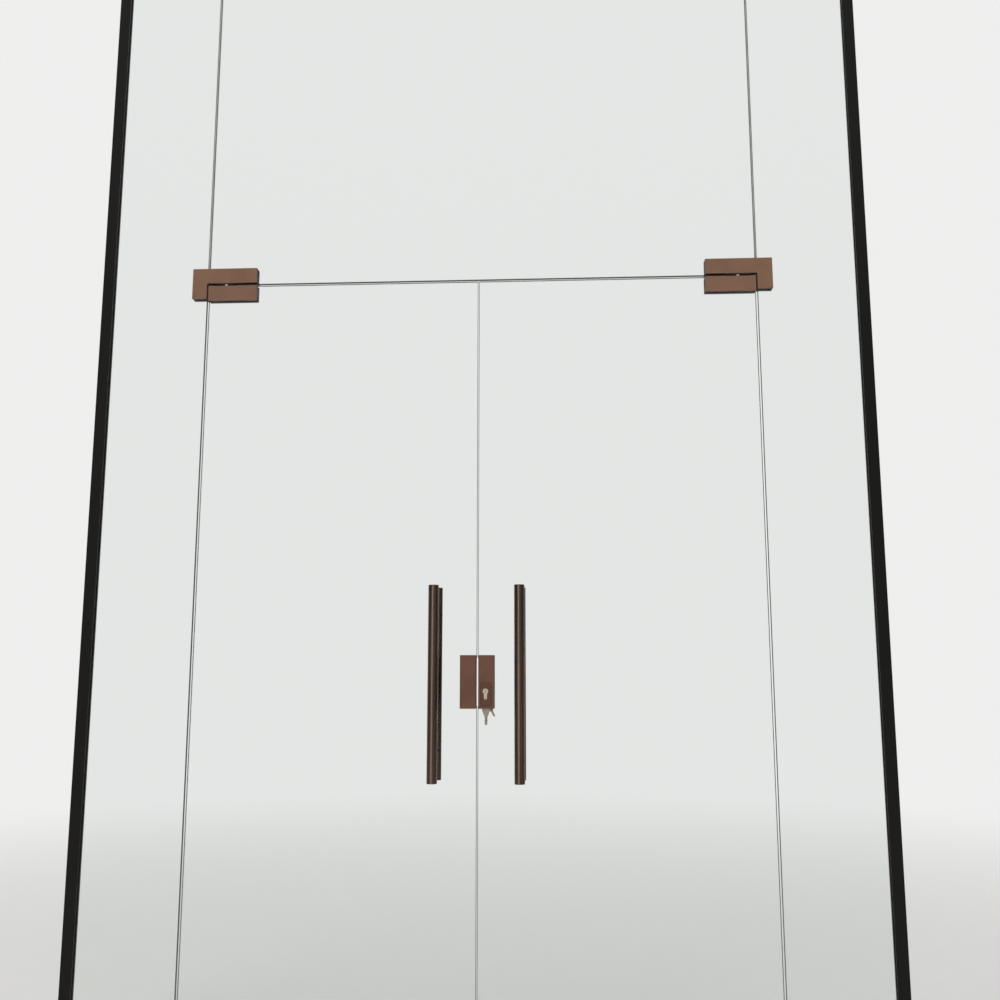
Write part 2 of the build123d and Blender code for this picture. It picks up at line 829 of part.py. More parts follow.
def key():
    """The key in the inside plug: blade, shoulder and an oval bow with a hole."""
    shoulder_y = cylinder_end + key_gap
    end_y = shoulder_y + key_bow_length
    blade = span(
        cylinder_axis_x - key_thickness / 2,
        cylinder_axis_x + key_thickness / 2,
        cylinder_end - keyway_depth,
        shoulder_y + key_hole_inset,
        cylinder_axis_z - key_blade_height / 2,
        cylinder_axis_z + key_blade_height / 2,
    )
    bow = Pos((shoulder_y + end_y) / 2, cylinder_axis_z) * Ellipse(key_bow_length / 2, key_bow_width / 2)
    bow -= Pos(key_hole_y, cylinder_axis_z) * Circle(key_hole_radius)
    plane = Plane((cylinder_axis_x - key_thickness / 2, 0, 0), x_dir=(0, 1, 0), z_dir=(1, 0, 0))
    place = Pos(cylinder_axis_x, key_hole_y, cylinder_axis_z) * Rot(0, 90, 0)
    hole = place * Cylinder(key_hole_radius, 2 * key_thickness)
    return blade + extrude(plane * bow, amount=key_thickness) - hole


def key_ring():
    """The ring of flat wire hangs from the key's bow, turned so that it runs through both bows."""
    outer = Cylinder(ring_radius + ring_wire_depth / 2, ring_wire_width)
    ring = outer - Cylinder(ring_radius - ring_wire_depth / 2, ring_wire_width)
    return Pos(cylinder_axis_x, key_hole_y, ring_centre_z) * Rot(0, 0, ring_turn) * Rot(90, 0, 0) * ring


def spare_key(scale, lean, offset):
    """A flat key hanging from the ring by its bow: round top, tapered shoulders, straight blade."""
    half_bow = scale * key_bow_width / 2
    half_blade = scale * spare_blade_width / 2
    hang = -(scale * spare_bow_length - key_hole_radius - bow_rim)
    shoulder = hang - scale * spare_taper_length
    tip = shoulder - scale * spare_blade_length
    top = -half_bow + key_hole_radius + bow_rim
    points = [
        (half_bow, top),
        (half_bow, hang),
        (half_blade, shoulder),
        (half_blade, tip + half_blade),
        (0, tip),
        (-half_blade, tip + half_blade),
        (-half_blade, shoulder),
        (-half_bow, hang),
        (-half_bow, top),
    ]
    sheet = make_face(Polyline(*points, close=True))
    sheet += Pos(0, top) * Circle(half_bow)
    sheet -= Circle(key_hole_radius)
    low_z = ring_centre_z - ring_radius - ring_drop
    sheet = Pos(cylinder_axis_x + offset, low_z) * Rot(0, 0, lean) * sheet
    middle = key_hole_y + offset
    return slab(sheet, middle - key_thickness / 2, middle + key_thickness / 2)


def spare_keys():
    long_key = spare_key(1.0, 0.0, -spare_key_spacing)
    short_key = spare_key(short_key_scale, short_key_lean, spare_key_spacing)
    return group([long_key, short_key])


def leaf_pieces(name):
    """The pieces that both leaves have, drawn for the right leaf."""
    top_body, top_covers, top_screws, top_pads = top_patch()
    bottom_body, bottom_covers, bottom_screws, bottom_pads = bottom_patch()
    lock_pads = pads(lock_outline, [lock_notch()])
    screws = top_screws + bottom_screws + [clamp_screw(x, z, lock_body_face) for x, z in lock_screws()]
    return {
        f"{name}_leaf_glass": leaf_glass(),
        f"{name}_top_patch_body": top_body,
        f"{name}_top_patch_covers": top_covers,
        f"{name}_bottom_patch_body": bottom_body,
        f"{name}_bottom_patch_covers": bottom_covers,
        f"{name}_glass_pads": group(top_pads + bottom_pads + lock_pads + pull_washers()),
        f"{name}_clamp_screws": group(screws + pull_studs()),
        f"{name}_pivot_bush": pivot_bush(),
        f"{name}_floor_spindle": floor_spindle(),
        f"{name}_outside_pull": pull_bar(-1),
        f"{name}_inside_pull": pull_bar(1),
        f"{name}_pull_posts": pull_posts(),
    }


def fixed_side_pieces(name):
    """The fixed pieces that both halves have, drawn for the right half."""
    return {
        f"{name}_wall_channel": wall_channel(),
        f"{name}_sill_channel": sill_channel(),
        f"{name}_sidelight_glass": sidelight_glass(),
        f"{name}_corner_patch_body": corner_patch_body(),
        f"{name}_corner_patch_covers": corner_patch_covers(),
        f"{name}_floor_spring": floor_spring(),
        f"{name}_floor_box": floor_box(),
        f"{name}_floor_plate": floor_plate(),
    }


def shared_pieces():
    """Fixed pieces that run across both halves, and small pieces kept in one group."""
    corner_pads = corner_patch_pads()
    screws = [clamp_screw(x, z, body_face) for x, z in sum(corner_screws(), [])]
    pin = top_pivot_pin()
    return {
        "head_channel": head_channel(),
        "transom_glass": transom_glass(),
        "channel_gaskets": channel_gaskets(),
        "setting_blocks": setting_blocks(),
        "silicone_joints": silicone_joints(),
        "corner_patch_pads": group(corner_pads + [left(piece) for piece in corner_pads]),
        "corner_patch_screws": group(screws + [left(piece) for piece in screws]),
        "top_pivot_pins": group([pin, left(pin)]),
    }


def lock_pieces():
    return {
        "strike_case": strike_case(),
        "strike_covers": strike_covers(),
        "lock_case": lock_case(),
        "lock_covers": lock_covers(),
        "lock_escutcheons": lock_escutcheons(),
        "lock_cylinder": lock_cylinder(),
        "deadbolt": deadbolt(),
        "outside_plug": plug(-1),
        "inside_plug": plug(1),
        "key": key(),
        "key_ring": key_ring(),
        "spare_keys": spare_keys(),
    }


def all_pieces():
    pieces = {}
    for make in (fixed_side_pieces, leaf_pieces):
        pieces.update(make("right"))
        pieces.update({name: left(piece) for name, piece in make("left").items()})
    pieces.update(shared_pieces())
    pieces.update(lock_pieces())
    return pieces


os.makedirs("parts", exist_ok=True)
for node, piece in all_pieces().items():
    export_step(piece, f"parts/{node}.step")
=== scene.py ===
import json
import math

import bmesh
import bpy
from bpy.props import FloatProperty, FloatVectorProperty, IntProperty, PointerProperty
from bpy.types import Operator, Panel, PropertyGroup
from mathutils import Matrix, Vector


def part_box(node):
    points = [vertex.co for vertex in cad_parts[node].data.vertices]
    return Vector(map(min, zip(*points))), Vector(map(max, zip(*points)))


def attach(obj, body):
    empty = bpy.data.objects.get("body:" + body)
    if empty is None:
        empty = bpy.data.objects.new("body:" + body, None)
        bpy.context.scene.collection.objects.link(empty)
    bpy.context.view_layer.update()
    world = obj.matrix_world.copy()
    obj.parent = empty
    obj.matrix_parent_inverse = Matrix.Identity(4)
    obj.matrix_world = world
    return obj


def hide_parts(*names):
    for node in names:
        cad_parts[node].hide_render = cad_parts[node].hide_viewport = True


bl_info = {
    "name": "Glass entrance door",
    "version": (1, 0, 0),
    "blender": (4, 5, 0),
    "location": "View3D > Sidebar > Door",
    "description": "Finishes, small pieces and studio for a frameless double glass entrance door",
    "category": "Object",
}

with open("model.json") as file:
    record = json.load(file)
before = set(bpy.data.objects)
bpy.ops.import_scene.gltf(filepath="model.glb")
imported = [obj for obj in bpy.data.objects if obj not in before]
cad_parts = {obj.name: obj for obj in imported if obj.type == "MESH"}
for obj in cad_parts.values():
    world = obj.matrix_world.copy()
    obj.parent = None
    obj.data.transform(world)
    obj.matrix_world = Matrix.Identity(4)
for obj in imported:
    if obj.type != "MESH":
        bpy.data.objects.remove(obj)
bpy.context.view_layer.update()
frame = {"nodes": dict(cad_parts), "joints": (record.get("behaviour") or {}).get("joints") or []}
nodes = frame["nodes"]
joints = {joint["name"]: joint for joint in frame["joints"]}
SIDES = ("left", "right")
EVEN = (1.0, 1.0, 1.0)
QUARTER_TURN = math.radians(90.0)
HALF_TURN = math.radians(180.0)

# Sides of a round piece, of a key's bow and of the studio floor
ROUND_SIDES = 48
BOW_SIDES = 64
FLOOR_SIDES = 96

# Tones of a finish against its own colour: painted shade on a cover's sides, painted shade in corners, a
# painted highlight on edges, and where it is handled
SIDE_SHADE_TONE = 0.12
CORNER_SHADE_TONE = 0.15
EDGE_HIGHLIGHT_TONE = 1.5
EDGE_HIGHLIGHT_LIFT = 0.05
HANDLED_TONE = 0.8

# How far the roughness of a finish drifts, what dust adds to it, and how strong the grain is
ROUGHNESS_LOW = 0.88
ROUGHNESS_HIGH = 1.14
DUST_ROUGHNESS = 0.35
GRAIN_STRENGTH = 0.5

# What hand marks, haze and the ground edge add to the roughness of glass, and its roller waves
MARK_ROUGHNESS = 0.09
HAZE_ROUGHNESS = 0.012
EDGE_ROUGHNESS = 0.3
HAZE_SCALE = 1.6
HAZE_STRETCH = (1.0, 1.0, 0.35)
WAVE_SCALE = 2.2
WAVE_STRENGTH = 0.4
WAVE_DEPTH = 0.0012
GLASS_IOR = 1.52
LAMP_THROUGH_GLASS = (0.9, 0.92, 0.91)

# Height, rim, socket and softened edge of a socket screw's head, each against its radius
SCREW_HEIGHT = 0.22
SCREW_RIM = 0.28
SCREW_SOCKET = 0.52
SCREW_EDGE = 0.03

# Rise of its middle, and middle and length of the block that cuts its socket, each against its height
SCREW_RISE = 0.35
SOCKET_MIDDLE = 2.6
SOCKET_LENGTH = 4.0

# Depths of a key's notches, a wave round a mean, against the deepest
NOTCH_MEAN = 0.55
NOTCH_SWING = 0.45
NOTCH_STEP = 2.3
NOTCH_START = 0.8

# Radius of the sunk panel against the inserted bow's width and a spare bow's radius, point, broken edge
INSERTED_PANEL = 0.22
SPARE_PANEL = 0.5
SPARE_POINT = 0.12
KEY_EDGE = 0.00018

# The split ring: degrees that the wire runs, steps, share of a turn's room that it fills, softened edge
RING_DEGREES = 700.0
RING_STEPS = 192
RING_FILL = 0.96
RING_EDGE = 0.16

# Tones of the studio floor against its own colour
FLOOR_DARK = 0.985
FLOOR_PALE = 1.01


# Settings

def shade(label, text, default):
    """A colour that the user can change."""
    return FloatVectorProperty(
        name=label, description=text, subtype="COLOR", size=3, min=0.0, max=1.0, default=default
    )


def length(label, text, default):
    """A length in metres that the user can change."""
    return FloatProperty(
        name=label, description=text, subtype="DISTANCE", unit="LENGTH", min=0.0, default=default
    )


def point(label, text, default):
    """A point in metres that the user can move."""
    return FloatVectorProperty(
        name=label, description=text, subtype="TRANSLATION", unit="LENGTH", size=3, default=default
    )


def angle(label, text, degrees):
    """An angle that the user can change."""
    return FloatProperty(name=label, description=text, subtype="ANGLE", default=math.radians(degrees))


def share(label, text, default):
    """A factor from 0 to 1 that the user can change."""
    return FloatProperty(name=label, description=text, min=0.0, max=1.0, default=default)


def amount(label, text, default):
    """A plain number that the user can change."""
    return FloatProperty(name=label, description=text, min=0.0, default=default)


class DoorFinishes(PropertyGroup):
    channel: shade("Channel", "Anodised face of the channels", (0.006, 0.0055, 0.005))
    block: shade("Setting block", "Plastic blocks under the fixed panes", (0.09, 0.1, 0.09))
    silicone: shade("Silicone", "Joint between the fixed panes", (0.34, 0.34, 0.32))
    rubber: shade("Rubber", "Gaskets and pads", (0.014, 0.014, 0.014))
    glass: shade("Glass", "Tint of a pane seen through its faces", (0.905, 0.93, 0.915))
    glass_edge: shade("Glass edge", "Tint of a ground edge", (0.006, 0.01, 0.008))
    cover: shade("Patch cover", "Bronze anodised face of the patches", (0.265, 0.148, 0.094))
    casting: shade("Casting", "Cast plates under the covers", (0.045, 0.028, 0.02))
    steel: shade("Turned steel", "Screws, spindles and bolt", (0.56, 0.55, 0.53))
    pin: shade("Pivot pin", "Pale plated pins between the patches", (0.93, 0.89, 0.85))
    nylon: shade("Nylon", "Bushes of the pivot pins", (0.62, 0.61, 0.57))
    pull: shade("Pull bar", "Dark bronze tube of the pull bars", (0.088, 0.058, 0.045))
    lock: shade("Lock cover", "Reddish bronze face of lock and strike", (0.2, 0.096, 0.066))
    nickel: shade("Nickel", "Lock cylinder and key ring", (0.76, 0.65, 0.56))
    key: shade("Key metal", "Worn nickel silver of the keys", (0.42, 0.34, 0.255))
    iron: shade("Painted iron", "Housings of the floor springs", (0.05, 0.05, 0.052))
    sheet: shade("Galvanised sheet", "Boxes of the floor springs", (0.36, 0.37, 0.38))
    plate: shade("Floor plate", "Brushed cover plates in the floor", (0.5, 0.49, 0.475))
    dust: shade("Dust", "Dust on what faces up", (0.42, 0.39, 0.35))


class DoorDetails(PropertyGroup):
    key_thickness: length("Key thickness", "Sheet that the keys are cut from", 0.0022)
    key_hole: length("Key hole", "Radius of the hole in a bow", 0.003)
    key_hole_inset: length("Key hole inset", "From the end of the inserted key's bow to its hole", 0.006)
    bow_length: length("Bow length", "Length of the inserted key's bow", 0.022)
    bow_width: length("Bow width", "Width of every bow", 0.025)
    blade_width: length("Blade width", "Width of the inserted key's blade", 0.0078)
    spare_bow: length("Spare bow", "From the end of a spare key's bow to its shoulders", 0.029)
    spare_taper: length("Spare taper", "Tapered part of a spare key", 0.02)
    spare_blade: length("Spare blade", "Straight part of a spare key", 0.025)
    spare_width: length("Spare blade width", "Width of a spare key's blade", 0.009)
    spare_rim: length("Spare rim", "Metal between a spare key's hole and its end", 0.0009)
    short_scale: share("Short key", "Size of the short spare key against the long one", 0.72)
    short_lean: angle("Short key lean", "Turn of the short spare key from hanging straight", 29.0)
    spare_spacing: length("Spare spacing", "From the ring's lowest point to each spare key", 0.0017)
    notches: IntProperty(name="Notches", description="Cuts along a blade", min=1, max=9, default=5)
    notch_depth: length("Notch depth", "Deepest cut in a blade", 0.0019)
    groove_width: length("Groove width", "Milled groove along a blade", 0.0018)
    groove_depth: length("Groove depth", "Depth of the groove and of a bow's panel", 0.0005)
    ring_turn: angle("Ring turn", "Turn of the key ring about the upright", 45.0)
    ring_depth: length("Ring wire depth", "From the ring's inside to its outside", 0.0016)
    ring_width: length("Ring width", "Two turns of the wire side by side", 0.0016)
    ring_drop: length("Ring drop", "From the ring's lowest wire down to the middle of a hole on it", 0.0007)
    plate_screw: length("Plate screw", "Head radius of the floor plates' screws", 0.0048)
    plate_screw_far: length("Plate screw far", "From the pivot to the far pair of screws", 0.22)
    plate_screw_near: length("Plate screw near", "From the pivot to the near pair of screws", 0.026)
    plate_screw_across: length("Plate screw across", "From the plate's middle line to a screw", 0.029)
    grub_screw: length("Grub screw", "Radius of the set screw under each pull post", 0.0025)
    grub_inset: length("Grub screw inset", "From the middle of the glass to the set screw", 0.016)


class DoorStudio(PropertyGroup):
    floor: shade("Floor", "Pale floor", (0.8, 0.795, 0.785))
    backdrop: shade("Backdrop", "Pale surroundings", (0.86, 0.86, 0.855))
    floor_radius: length("Floor radius", "From the middle of the door to the floor's rim", 40.0)
    floor_drop: length("Floor drop", "From the floor plates' faces down to the floor", 0.0004)
    fade_start: length("Fade start", "Where the floor starts to fade into the backdrop", 1.6)
    fade_end: length("Fade end", "Where the floor has become the backdrop", 7.0)
    eye: point("Eye", "Where the camera stands", (0.2477, -3.3166, 1.116))
    eye_tilt: angle("Tilt", "How far the camera looks up", 9.228)
    eye_turn: angle("Turn", "How far the camera is turned to the left", 3.063)
    lens: amount("Lens", "Focal length in millimetres", 37.9)
    sensor: amount("Sensor", "Width of the camera's sensor in millimetres", 36.0)
    sight: length("Sight", "How far the camera sees", 200.0)
    lamp_size: length("Lamp size", "Width and height of the key, fill and back lights", 3.2)
    lamp_target: point("Lamp target", "Where those lights point", (0.0, 0.0, 1.4))
    key_power: amount("Key light", "Watts", 130.0)
    key_color: shade("Key light colour", "A little warm", (1.0, 0.98, 0.95))
    key_place: point("Key light place", "In front, to the left and above", (-3.8, -4.8, 4.8))
    fill_power: amount("Fill light", "Watts, of the fill and back lights each", 45.0)
    fill_color: shade("Fill light colour", "A little cool", (0.96, 0.98, 1.0))
    fill_place: point("Fill light place", "In front, to the right", (4.6, -4.2, 3.2))
    back_place: point("Back light place", "Behind and above", (0.6, 5.2, 4.8))
    bar_power: amount("Bar light", "Watts, on the pull bars and pivot pins alone", 36.0)
    bar_width: length("Bar light width", "Narrow, so that it draws a line along a bar", 1.3)
    bar_height: length("Bar light height", "Tall, so that the line runs the whole bar", 3.0)
    bar_place: point("Bar light place", "In front, to the left", (-0.85, -3.1, 1.1))
    bar_target: point("Bar light target", "The middle of the pull bars", (0.0, 0.0, 1.08))
    air_light: amount("Air light", "Strength of the surroundings as a lamp", 0.8)
    side_gloss: amount("Side gloss", "Surroundings at both sides, in reflections", 0.14)
    front_gloss: amount("Front gloss", "Surroundings ahead, in reflections", 0.68)
    top_gloss: amount("Top gloss", "Added overhead, in reflections", 0.5)


# Shader building

class Graph:
    """Adds nodes to a shader tree, with sockets or plain values as inputs."""

    def __init__(self, tree):
        self.tree = tree

    def feed(self, socket, value):
        """Links another node's socket to an input, or sets a plain value there."""
        if isinstance(value, bpy.types.NodeSocket):
            self.tree.links.new(value, socket)
        else:
            socket.default_value = value

    def add(self, kind, inputs=None, **settings):
        node = self.tree.nodes.new(kind)
        for name, value in settings.items():
            setattr(node, name, value)
        for name, value in (inputs or {}).items():
            self.feed(node.inputs[name], value)
        return node

    def math(self, operation, a, b=0.0, clamp=False):
        return self.add("ShaderNodeMath", {0: a, 1: b}, operation=operation, use_clamp=clamp).outputs[0]

    def product(self, first, *others):
        for other in others:
            first = self.math("MULTIPLY", first, other)
        return first

    def vector(self, operation, inputs, output=0):
        return self.add("ShaderNodeVectorMath", inputs, operation=operation).outputs[output]

    def component(self, vector, axis):
        return self.add("ShaderNodeSeparateXYZ", {0: vector}).outputs[axis]

    def remap(self, value, low, high, to_low=0.0, to_high=1.0):
        inputs = {"Value": value, "From Min": low, "From Max": high, "To Min": to_low, "To Max": to_high}
        return self.add("ShaderNodeMapRange", inputs, interpolation_type="SMOOTHSTEP").outputs["Result"]

    def blend(self, factor, first, second):
        return self.add("ShaderNodeMix", {0: factor, 6: first, 7: second}, data_type="RGBA").outputs[2]

    def coordinates(self, kind="Object"):
        return self.add("ShaderNodeTexCoord").outputs[kind]

    def noise(self, place, scale, detail, roughness=0.5):
        inputs = {"Vector": place, "Scale": scale, "Detail": detail, "Roughness": roughness}
        return self.add("ShaderNodeTexNoise", inputs).outputs["Fac"]

    def bump(self, height, strength, distance):
        inputs = {"Height": height, "Strength": strength, "Distance": distance}
        return self.add("ShaderNodeBump", inputs).outputs["Normal"]


def opaque(color):
    return (*color, 1.0)


def scaled(color, factor, lift=0.0):
    """A darker or lighter tone of a colour."""
    return opaque([min(1.0, value * factor + lift) for value in color])


def shader_group(name, inputs, output="Mask"):
    """A new group of nodes with one output: its tree, its graph, the given sockets and the output."""
    tree = bpy.data.node_groups.new(name, "ShaderNodeTree")
    for label, kind, value in inputs:
        socket = tree.interface.new_socket(name=label, in_out="INPUT", socket_type=kind)
        socket.default_value = value
    tree.interface.new_socket(name=output, in_out="OUTPUT", socket_type="NodeSocketFloat")
    graph = Graph(tree)
    return tree, graph, graph.add("NodeGroupInput").outputs, graph.add("NodeGroupOutput").inputs[output]


def mottle_group():
    """Soft patches of a finish, with the texture stretched along an axis where the metal was drawn."""
    inputs = [("Scale", "NodeSocketFloat", 8.0), ("Stretch", "NodeSocketVector", EVEN)]
    tree, g, given, out = shader_group("Mottle", inputs)
    place = g.vector("MULTIPLY", {0: g.coordinates(), 1: given["Stretch"]})
    g.feed(out, g.remap(g.noise(place, given["Scale"], 4.0), 0.32, 0.68))
    return tree


def grain_group():
    """A fine grain: blasted where the stretch is even, brushed where it is long along one axis."""
    inputs = [("Scale", "NodeSocketFloat", 900.0), ("Stretch", "NodeSocketVector", EVEN)]
    tree, g, given, out = shader_group("Grain", inputs, "Height")
    place = g.vector("MULTIPLY", {0: g.coordinates(), 1: given["Stretch"]})
    g.feed(out, g.noise(place, given["Scale"], 3.0))
    return tree


def dust_group():
    """Dust on what faces up, broken up by noise."""
    inputs = [("Amount", "NodeSocketFloat", 0.5), ("Scale", "NodeSocketFloat", 60.0)]
    tree, g, given, out = shader_group("Settled dust", inputs)
    facing = g.remap(g.component(g.coordinates("Normal"), "Z"), 0.35, 0.95)
    broken = g.remap(g.noise(g.coordinates(), given["Scale"], 5.0), 0.35, 0.62, 0.35, 1.0)
    g.feed(out, g.product(facing, broken, given["Amount"]))
    return tree


def edge_highlight_group():
    """A painted highlight along the edges, paler where a rounded edge would catch the light, broken up by
    noise.
    """
    inputs = [("Radius", "NodeSocketFloat", 0.0008), ("Amount", "NodeSocketFloat", 0.6)]
    tree, g, given, out = shader_group("Painted edge highlight", inputs)
    rounded = g.add("ShaderNodeBevel", {"Radius": given["Radius"]}, samples=4).outputs["Normal"]
    flat = g.add("ShaderNodeNewGeometry").outputs["Normal"]
    agree = g.vector("DOT_PRODUCT", {0: rounded, 1: flat}, "Value")
    broken = g.remap(g.noise(g.coordinates(), 140.0, 3.0), 0.38, 0.66)
    g.feed(out, g.product(g.remap(agree, 0.995, 0.86), broken, given["Amount"]))
    return tree


def corner_shade_group():
    """Painted shade in the corner between a face and a plate that stands on it, from ambient occlusion."""
    inputs = [("Reach", "NodeSocketFloat", 0.004), ("Amount", "NodeSocketFloat", 0.8)]
    tree, g, given, out = shader_group("Painted corner shade", inputs)
    open_share = g.add("ShaderNodeAmbientOcclusion", {"Distance": given["Reach"]}, samples=8).outputs["AO"]
    g.feed(out, g.product(g.remap(open_share, 0.85, 0.45), given["Amount"]))
    return tree


def ground_edge_group():
    """The ground edges of a pane that stands across Y."""
    tree, g, _, out = shader_group("Ground edge", [])
    across = g.math("ABSOLUTE", g.component(g.coordinates("Normal"), "Y"))
    g.feed(out, g.remap(across, 0.99, 0.9))
    return tree


def touch_group():
    """Greasy marks round a point that hands reach for."""
    inputs = [("Centre", "NodeSocketVector", (0.0, 0.0, 1.1)), ("Reach", "NodeSocketFloat", 0.4)]
    tree, g, given, out = shader_group("Hand marks", inputs)
    away = g.vector("DISTANCE", {0: g.coordinates(), 1: given["Centre"]}, "Value")
    near = g.remap(g.math("DIVIDE", away, given["Reach"]), 1.0, 0.2)
    smears = g.remap(g.noise(g.coordinates(), 34.0, 6.0, 0.65), 0.5, 0.72)
    g.feed(out, g.product(near, smears))
    return tree


def side_shade_group():
    """Painted shade on the side faces of a cover that stands across Y: top, bottom and both ends."""
    tree, g, given, out = shader_group("Painted cover side shade", [("Amount", "NodeSocketFloat", 1.0)])
    across = g.math("ABSOLUTE", g.component(g.coordinates("Normal"), "Y"))
    g.feed(out, g.product(g.remap(across, 0.6, 0.25), given["Amount"]))
    return tree


GROUP_MAKERS = {
    "Mottle": mottle_group,
    "Grain": grain_group,
    "Settled dust": dust_group,
    "Painted edge highlight": edge_highlight_group,
    "Painted corner shade": corner_shade_group,
    "Ground edge": ground_edge_group,
    "Hand marks": touch_group,
    "Painted cover side shade": side_shade_group,
}


def grouped(graph, name, **inputs):
    """Places a shared group in a material, with this material's own values."""
    tree = bpy.data.node_groups.get(name) or GROUP_MAKERS[name]()
    node = graph.add("ShaderNodeGroup", node_tree=tree)
    for label, value in inputs.items():
        node.inputs[label].default_value = value
    return node.outputs[0]


def bare_material(name):
    """A new material with its graph, its Principled shader and its output node."""
    material = bpy.data.materials.new(name)
    material.use_nodes = True
    material.node_tree.nodes.clear()
    graph = Graph(material.node_tree)
    shader = graph.add("ShaderNodeBsdfPrincipled")
    out = graph.add("ShaderNodeOutputMaterial", {"Surface": shader.outputs[0]})
    return material, graph, shader, out


def set_evenly(material, **values):
    """Sets values that are the same all over on the shader's own sockets."""
    shader = material.node_tree.nodes["Principled BSDF"]
    for label, value in values.items():
        shader.inputs[label.replace("_", " ")].default_value = value


def solid_finish(
    name, color, metallic, roughness, variation=0.12, mottle=9.0, stretch=EVEN,
    grain=900.0, grain_stretch=EVEN, grain_depth=0.00002, dust=0.25, edge_highlight=0.0, sides=0.0, corner_shade=0.0,
):
    """A finish whose colour and gloss drift a little, with a fine grain.

    Above 0, dust settles on what faces up, the edge amount paints a pale highlight along the edges, sides
    paints shade on the side faces of a cover, and the corner amount paints shade in the corners round what
    stands on a face.
    """
    material, g, shader, _ = bare_material(name)
    mask = grouped(g, "Mottle", Scale=mottle, Stretch=stretch)
    tone = g.blend(mask, scaled(color, 1 - variation), scaled(color, 1 + variation))
    gloss = g.remap(mask, 0.0, 1.0, roughness * ROUGHNESS_LOW, roughness * ROUGHNESS_HIGH)
    # Painted shade on the side faces of a cover.
    if sides > 0:
        tone = g.blend(grouped(g, "Painted cover side shade", Amount=sides), tone, scaled(color, SIDE_SHADE_TONE))
    # Painted shade in the corners round what stands on a face.
    if corner_shade > 0:
        tone = g.blend(grouped(g, "Painted corner shade", Amount=corner_shade), tone, scaled(color, CORNER_SHADE_TONE))
    # A painted highlight along the edges, in a paler tone of the colour.
    if edge_highlight > 0:
        highlighted = scaled(color, EDGE_HIGHLIGHT_TONE, EDGE_HIGHLIGHT_LIFT)
        tone = g.blend(grouped(g, "Painted edge highlight", Amount=edge_highlight), tone, highlighted)
    if dust > 0:
        dusty = grouped(g, "Settled dust", Amount=dust)
        tone = g.blend(dusty, tone, opaque(bpy.context.scene.door_finishes.dust))
        gloss = g.math("ADD", gloss, g.product(dusty, DUST_ROUGHNESS), clamp=True)
    height = grouped(g, "Grain", Scale=grain, Stretch=grain_stretch)
    g.feed(shader.inputs["Base Color"], tone)
    g.feed(shader.inputs["Roughness"], gloss)
    g.feed(shader.inputs["Normal"], g.bump(height, GRAIN_STRENGTH, grain_depth))
    set_evenly(material, Metallic=metallic)
    return material


def glass_finish(name, colors, touched):
    """Clear toughened glass with ground edges, hand marks and the faint waves of the furnace rollers."""
    material, g, shader, out = bare_material(name)
    edge = grouped(g, "Ground edge")
    marks = grouped(g, "Hand marks", Centre=touched)
    haze = grouped(g, "Mottle", Scale=HAZE_SCALE, Stretch=HAZE_STRETCH)
    face_gloss = g.math("ADD", g.product(marks, MARK_ROUGHNESS), g.product(haze, HAZE_ROUGHNESS))
    gloss = g.math("ADD", face_gloss, g.product(edge, EDGE_ROUGHNESS), clamp=True)
    waves = g.noise(g.coordinates(), WAVE_SCALE, 1.0)
    g.feed(shader.inputs["Base Color"], g.blend(edge, opaque(colors.glass), opaque(colors.glass_edge)))
    g.feed(shader.inputs["Roughness"], gloss)
    g.feed(shader.inputs["Normal"], g.bump(waves, WAVE_STRENGTH, WAVE_DEPTH))
    set_evenly(material, Metallic=0.0, Transmission_Weight=1.0, IOR=GLASS_IOR)
    lamp_ray = g.add("ShaderNodeLightPath").outputs["Is Shadow Ray"]
    clear = g.add("ShaderNodeBsdfTransparent", {"Color": opaque(LAMP_THROUGH_GLASS)})
    mixed = g.add("ShaderNodeMixShader", {0: lamp_ray, 1: shader.outputs[0], 2: clear.outputs[0]})
    g.feed(out.inputs["Surface"], mixed.outputs[0])
    return material


def dress(material, *names):
    """Gives CAD nodes a finish in place of the plain one."""
    for name in names:
        for place in nodes[name].material_slots:
            place.material = material


def both(*endings):
    """The left and right nodes with these endings."""
    return [f"{side}_{ending}" for side in SIDES for ending in endings]


# Modelling helpers

def start_fresh():
    """Leaves nothing selected, so that an operator acts only on what is added next."""
    if bpy.context.object and bpy.context.object.mode != "OBJECT":
        bpy.ops.object.mode_set(mode="OBJECT")
    bpy.ops.object.select_all(action="DESELECT")


def pick(test, kind="FACE"):
    """Selects the faces or vertices of the mesh in edit mode that pass a test."""
    bpy.ops.mesh.select_mode(type=kind)
    bpy.ops.mesh.select_all(action="DESELECT")
    mesh = bmesh.from_edit_mesh(bpy.context.object.data)
    for item in mesh.faces if kind == "FACE" else mesh.verts:
        item.select_set(bool(test(item)))
    mesh.select_flush_mode()
    bmesh.update_edit_mesh(bpy.context.object.data)


def apply_all(piece):
    """Applies the piece's modifiers in their order."""
    bpy.context.view_layer.objects.active = piece
    for modifier in list(piece.modifiers):
        bpy.ops.object.modifier_apply(modifier=modifier.name)


def settle(piece):
    """Puts the piece's place into its mesh, so that its object sits at the origin."""
    start_fresh()
    piece.select_set(True)
    bpy.context.view_layer.objects.active = piece
    bpy.ops.object.transform_apply(location=True, rotation=True, scale=True)


def cut(piece, tool, operation="DIFFERENCE"):
    """Cuts a tool out of a piece, or joins it on, and removes the tool."""
    modifier = piece.modifiers.new("Cut", "BOOLEAN")
    modifier.operation = operation
    modifier.solver = "EXACT"
    modifier.object = tool
    start_fresh()
    apply_all(piece)
    bpy.data.objects.remove(tool)


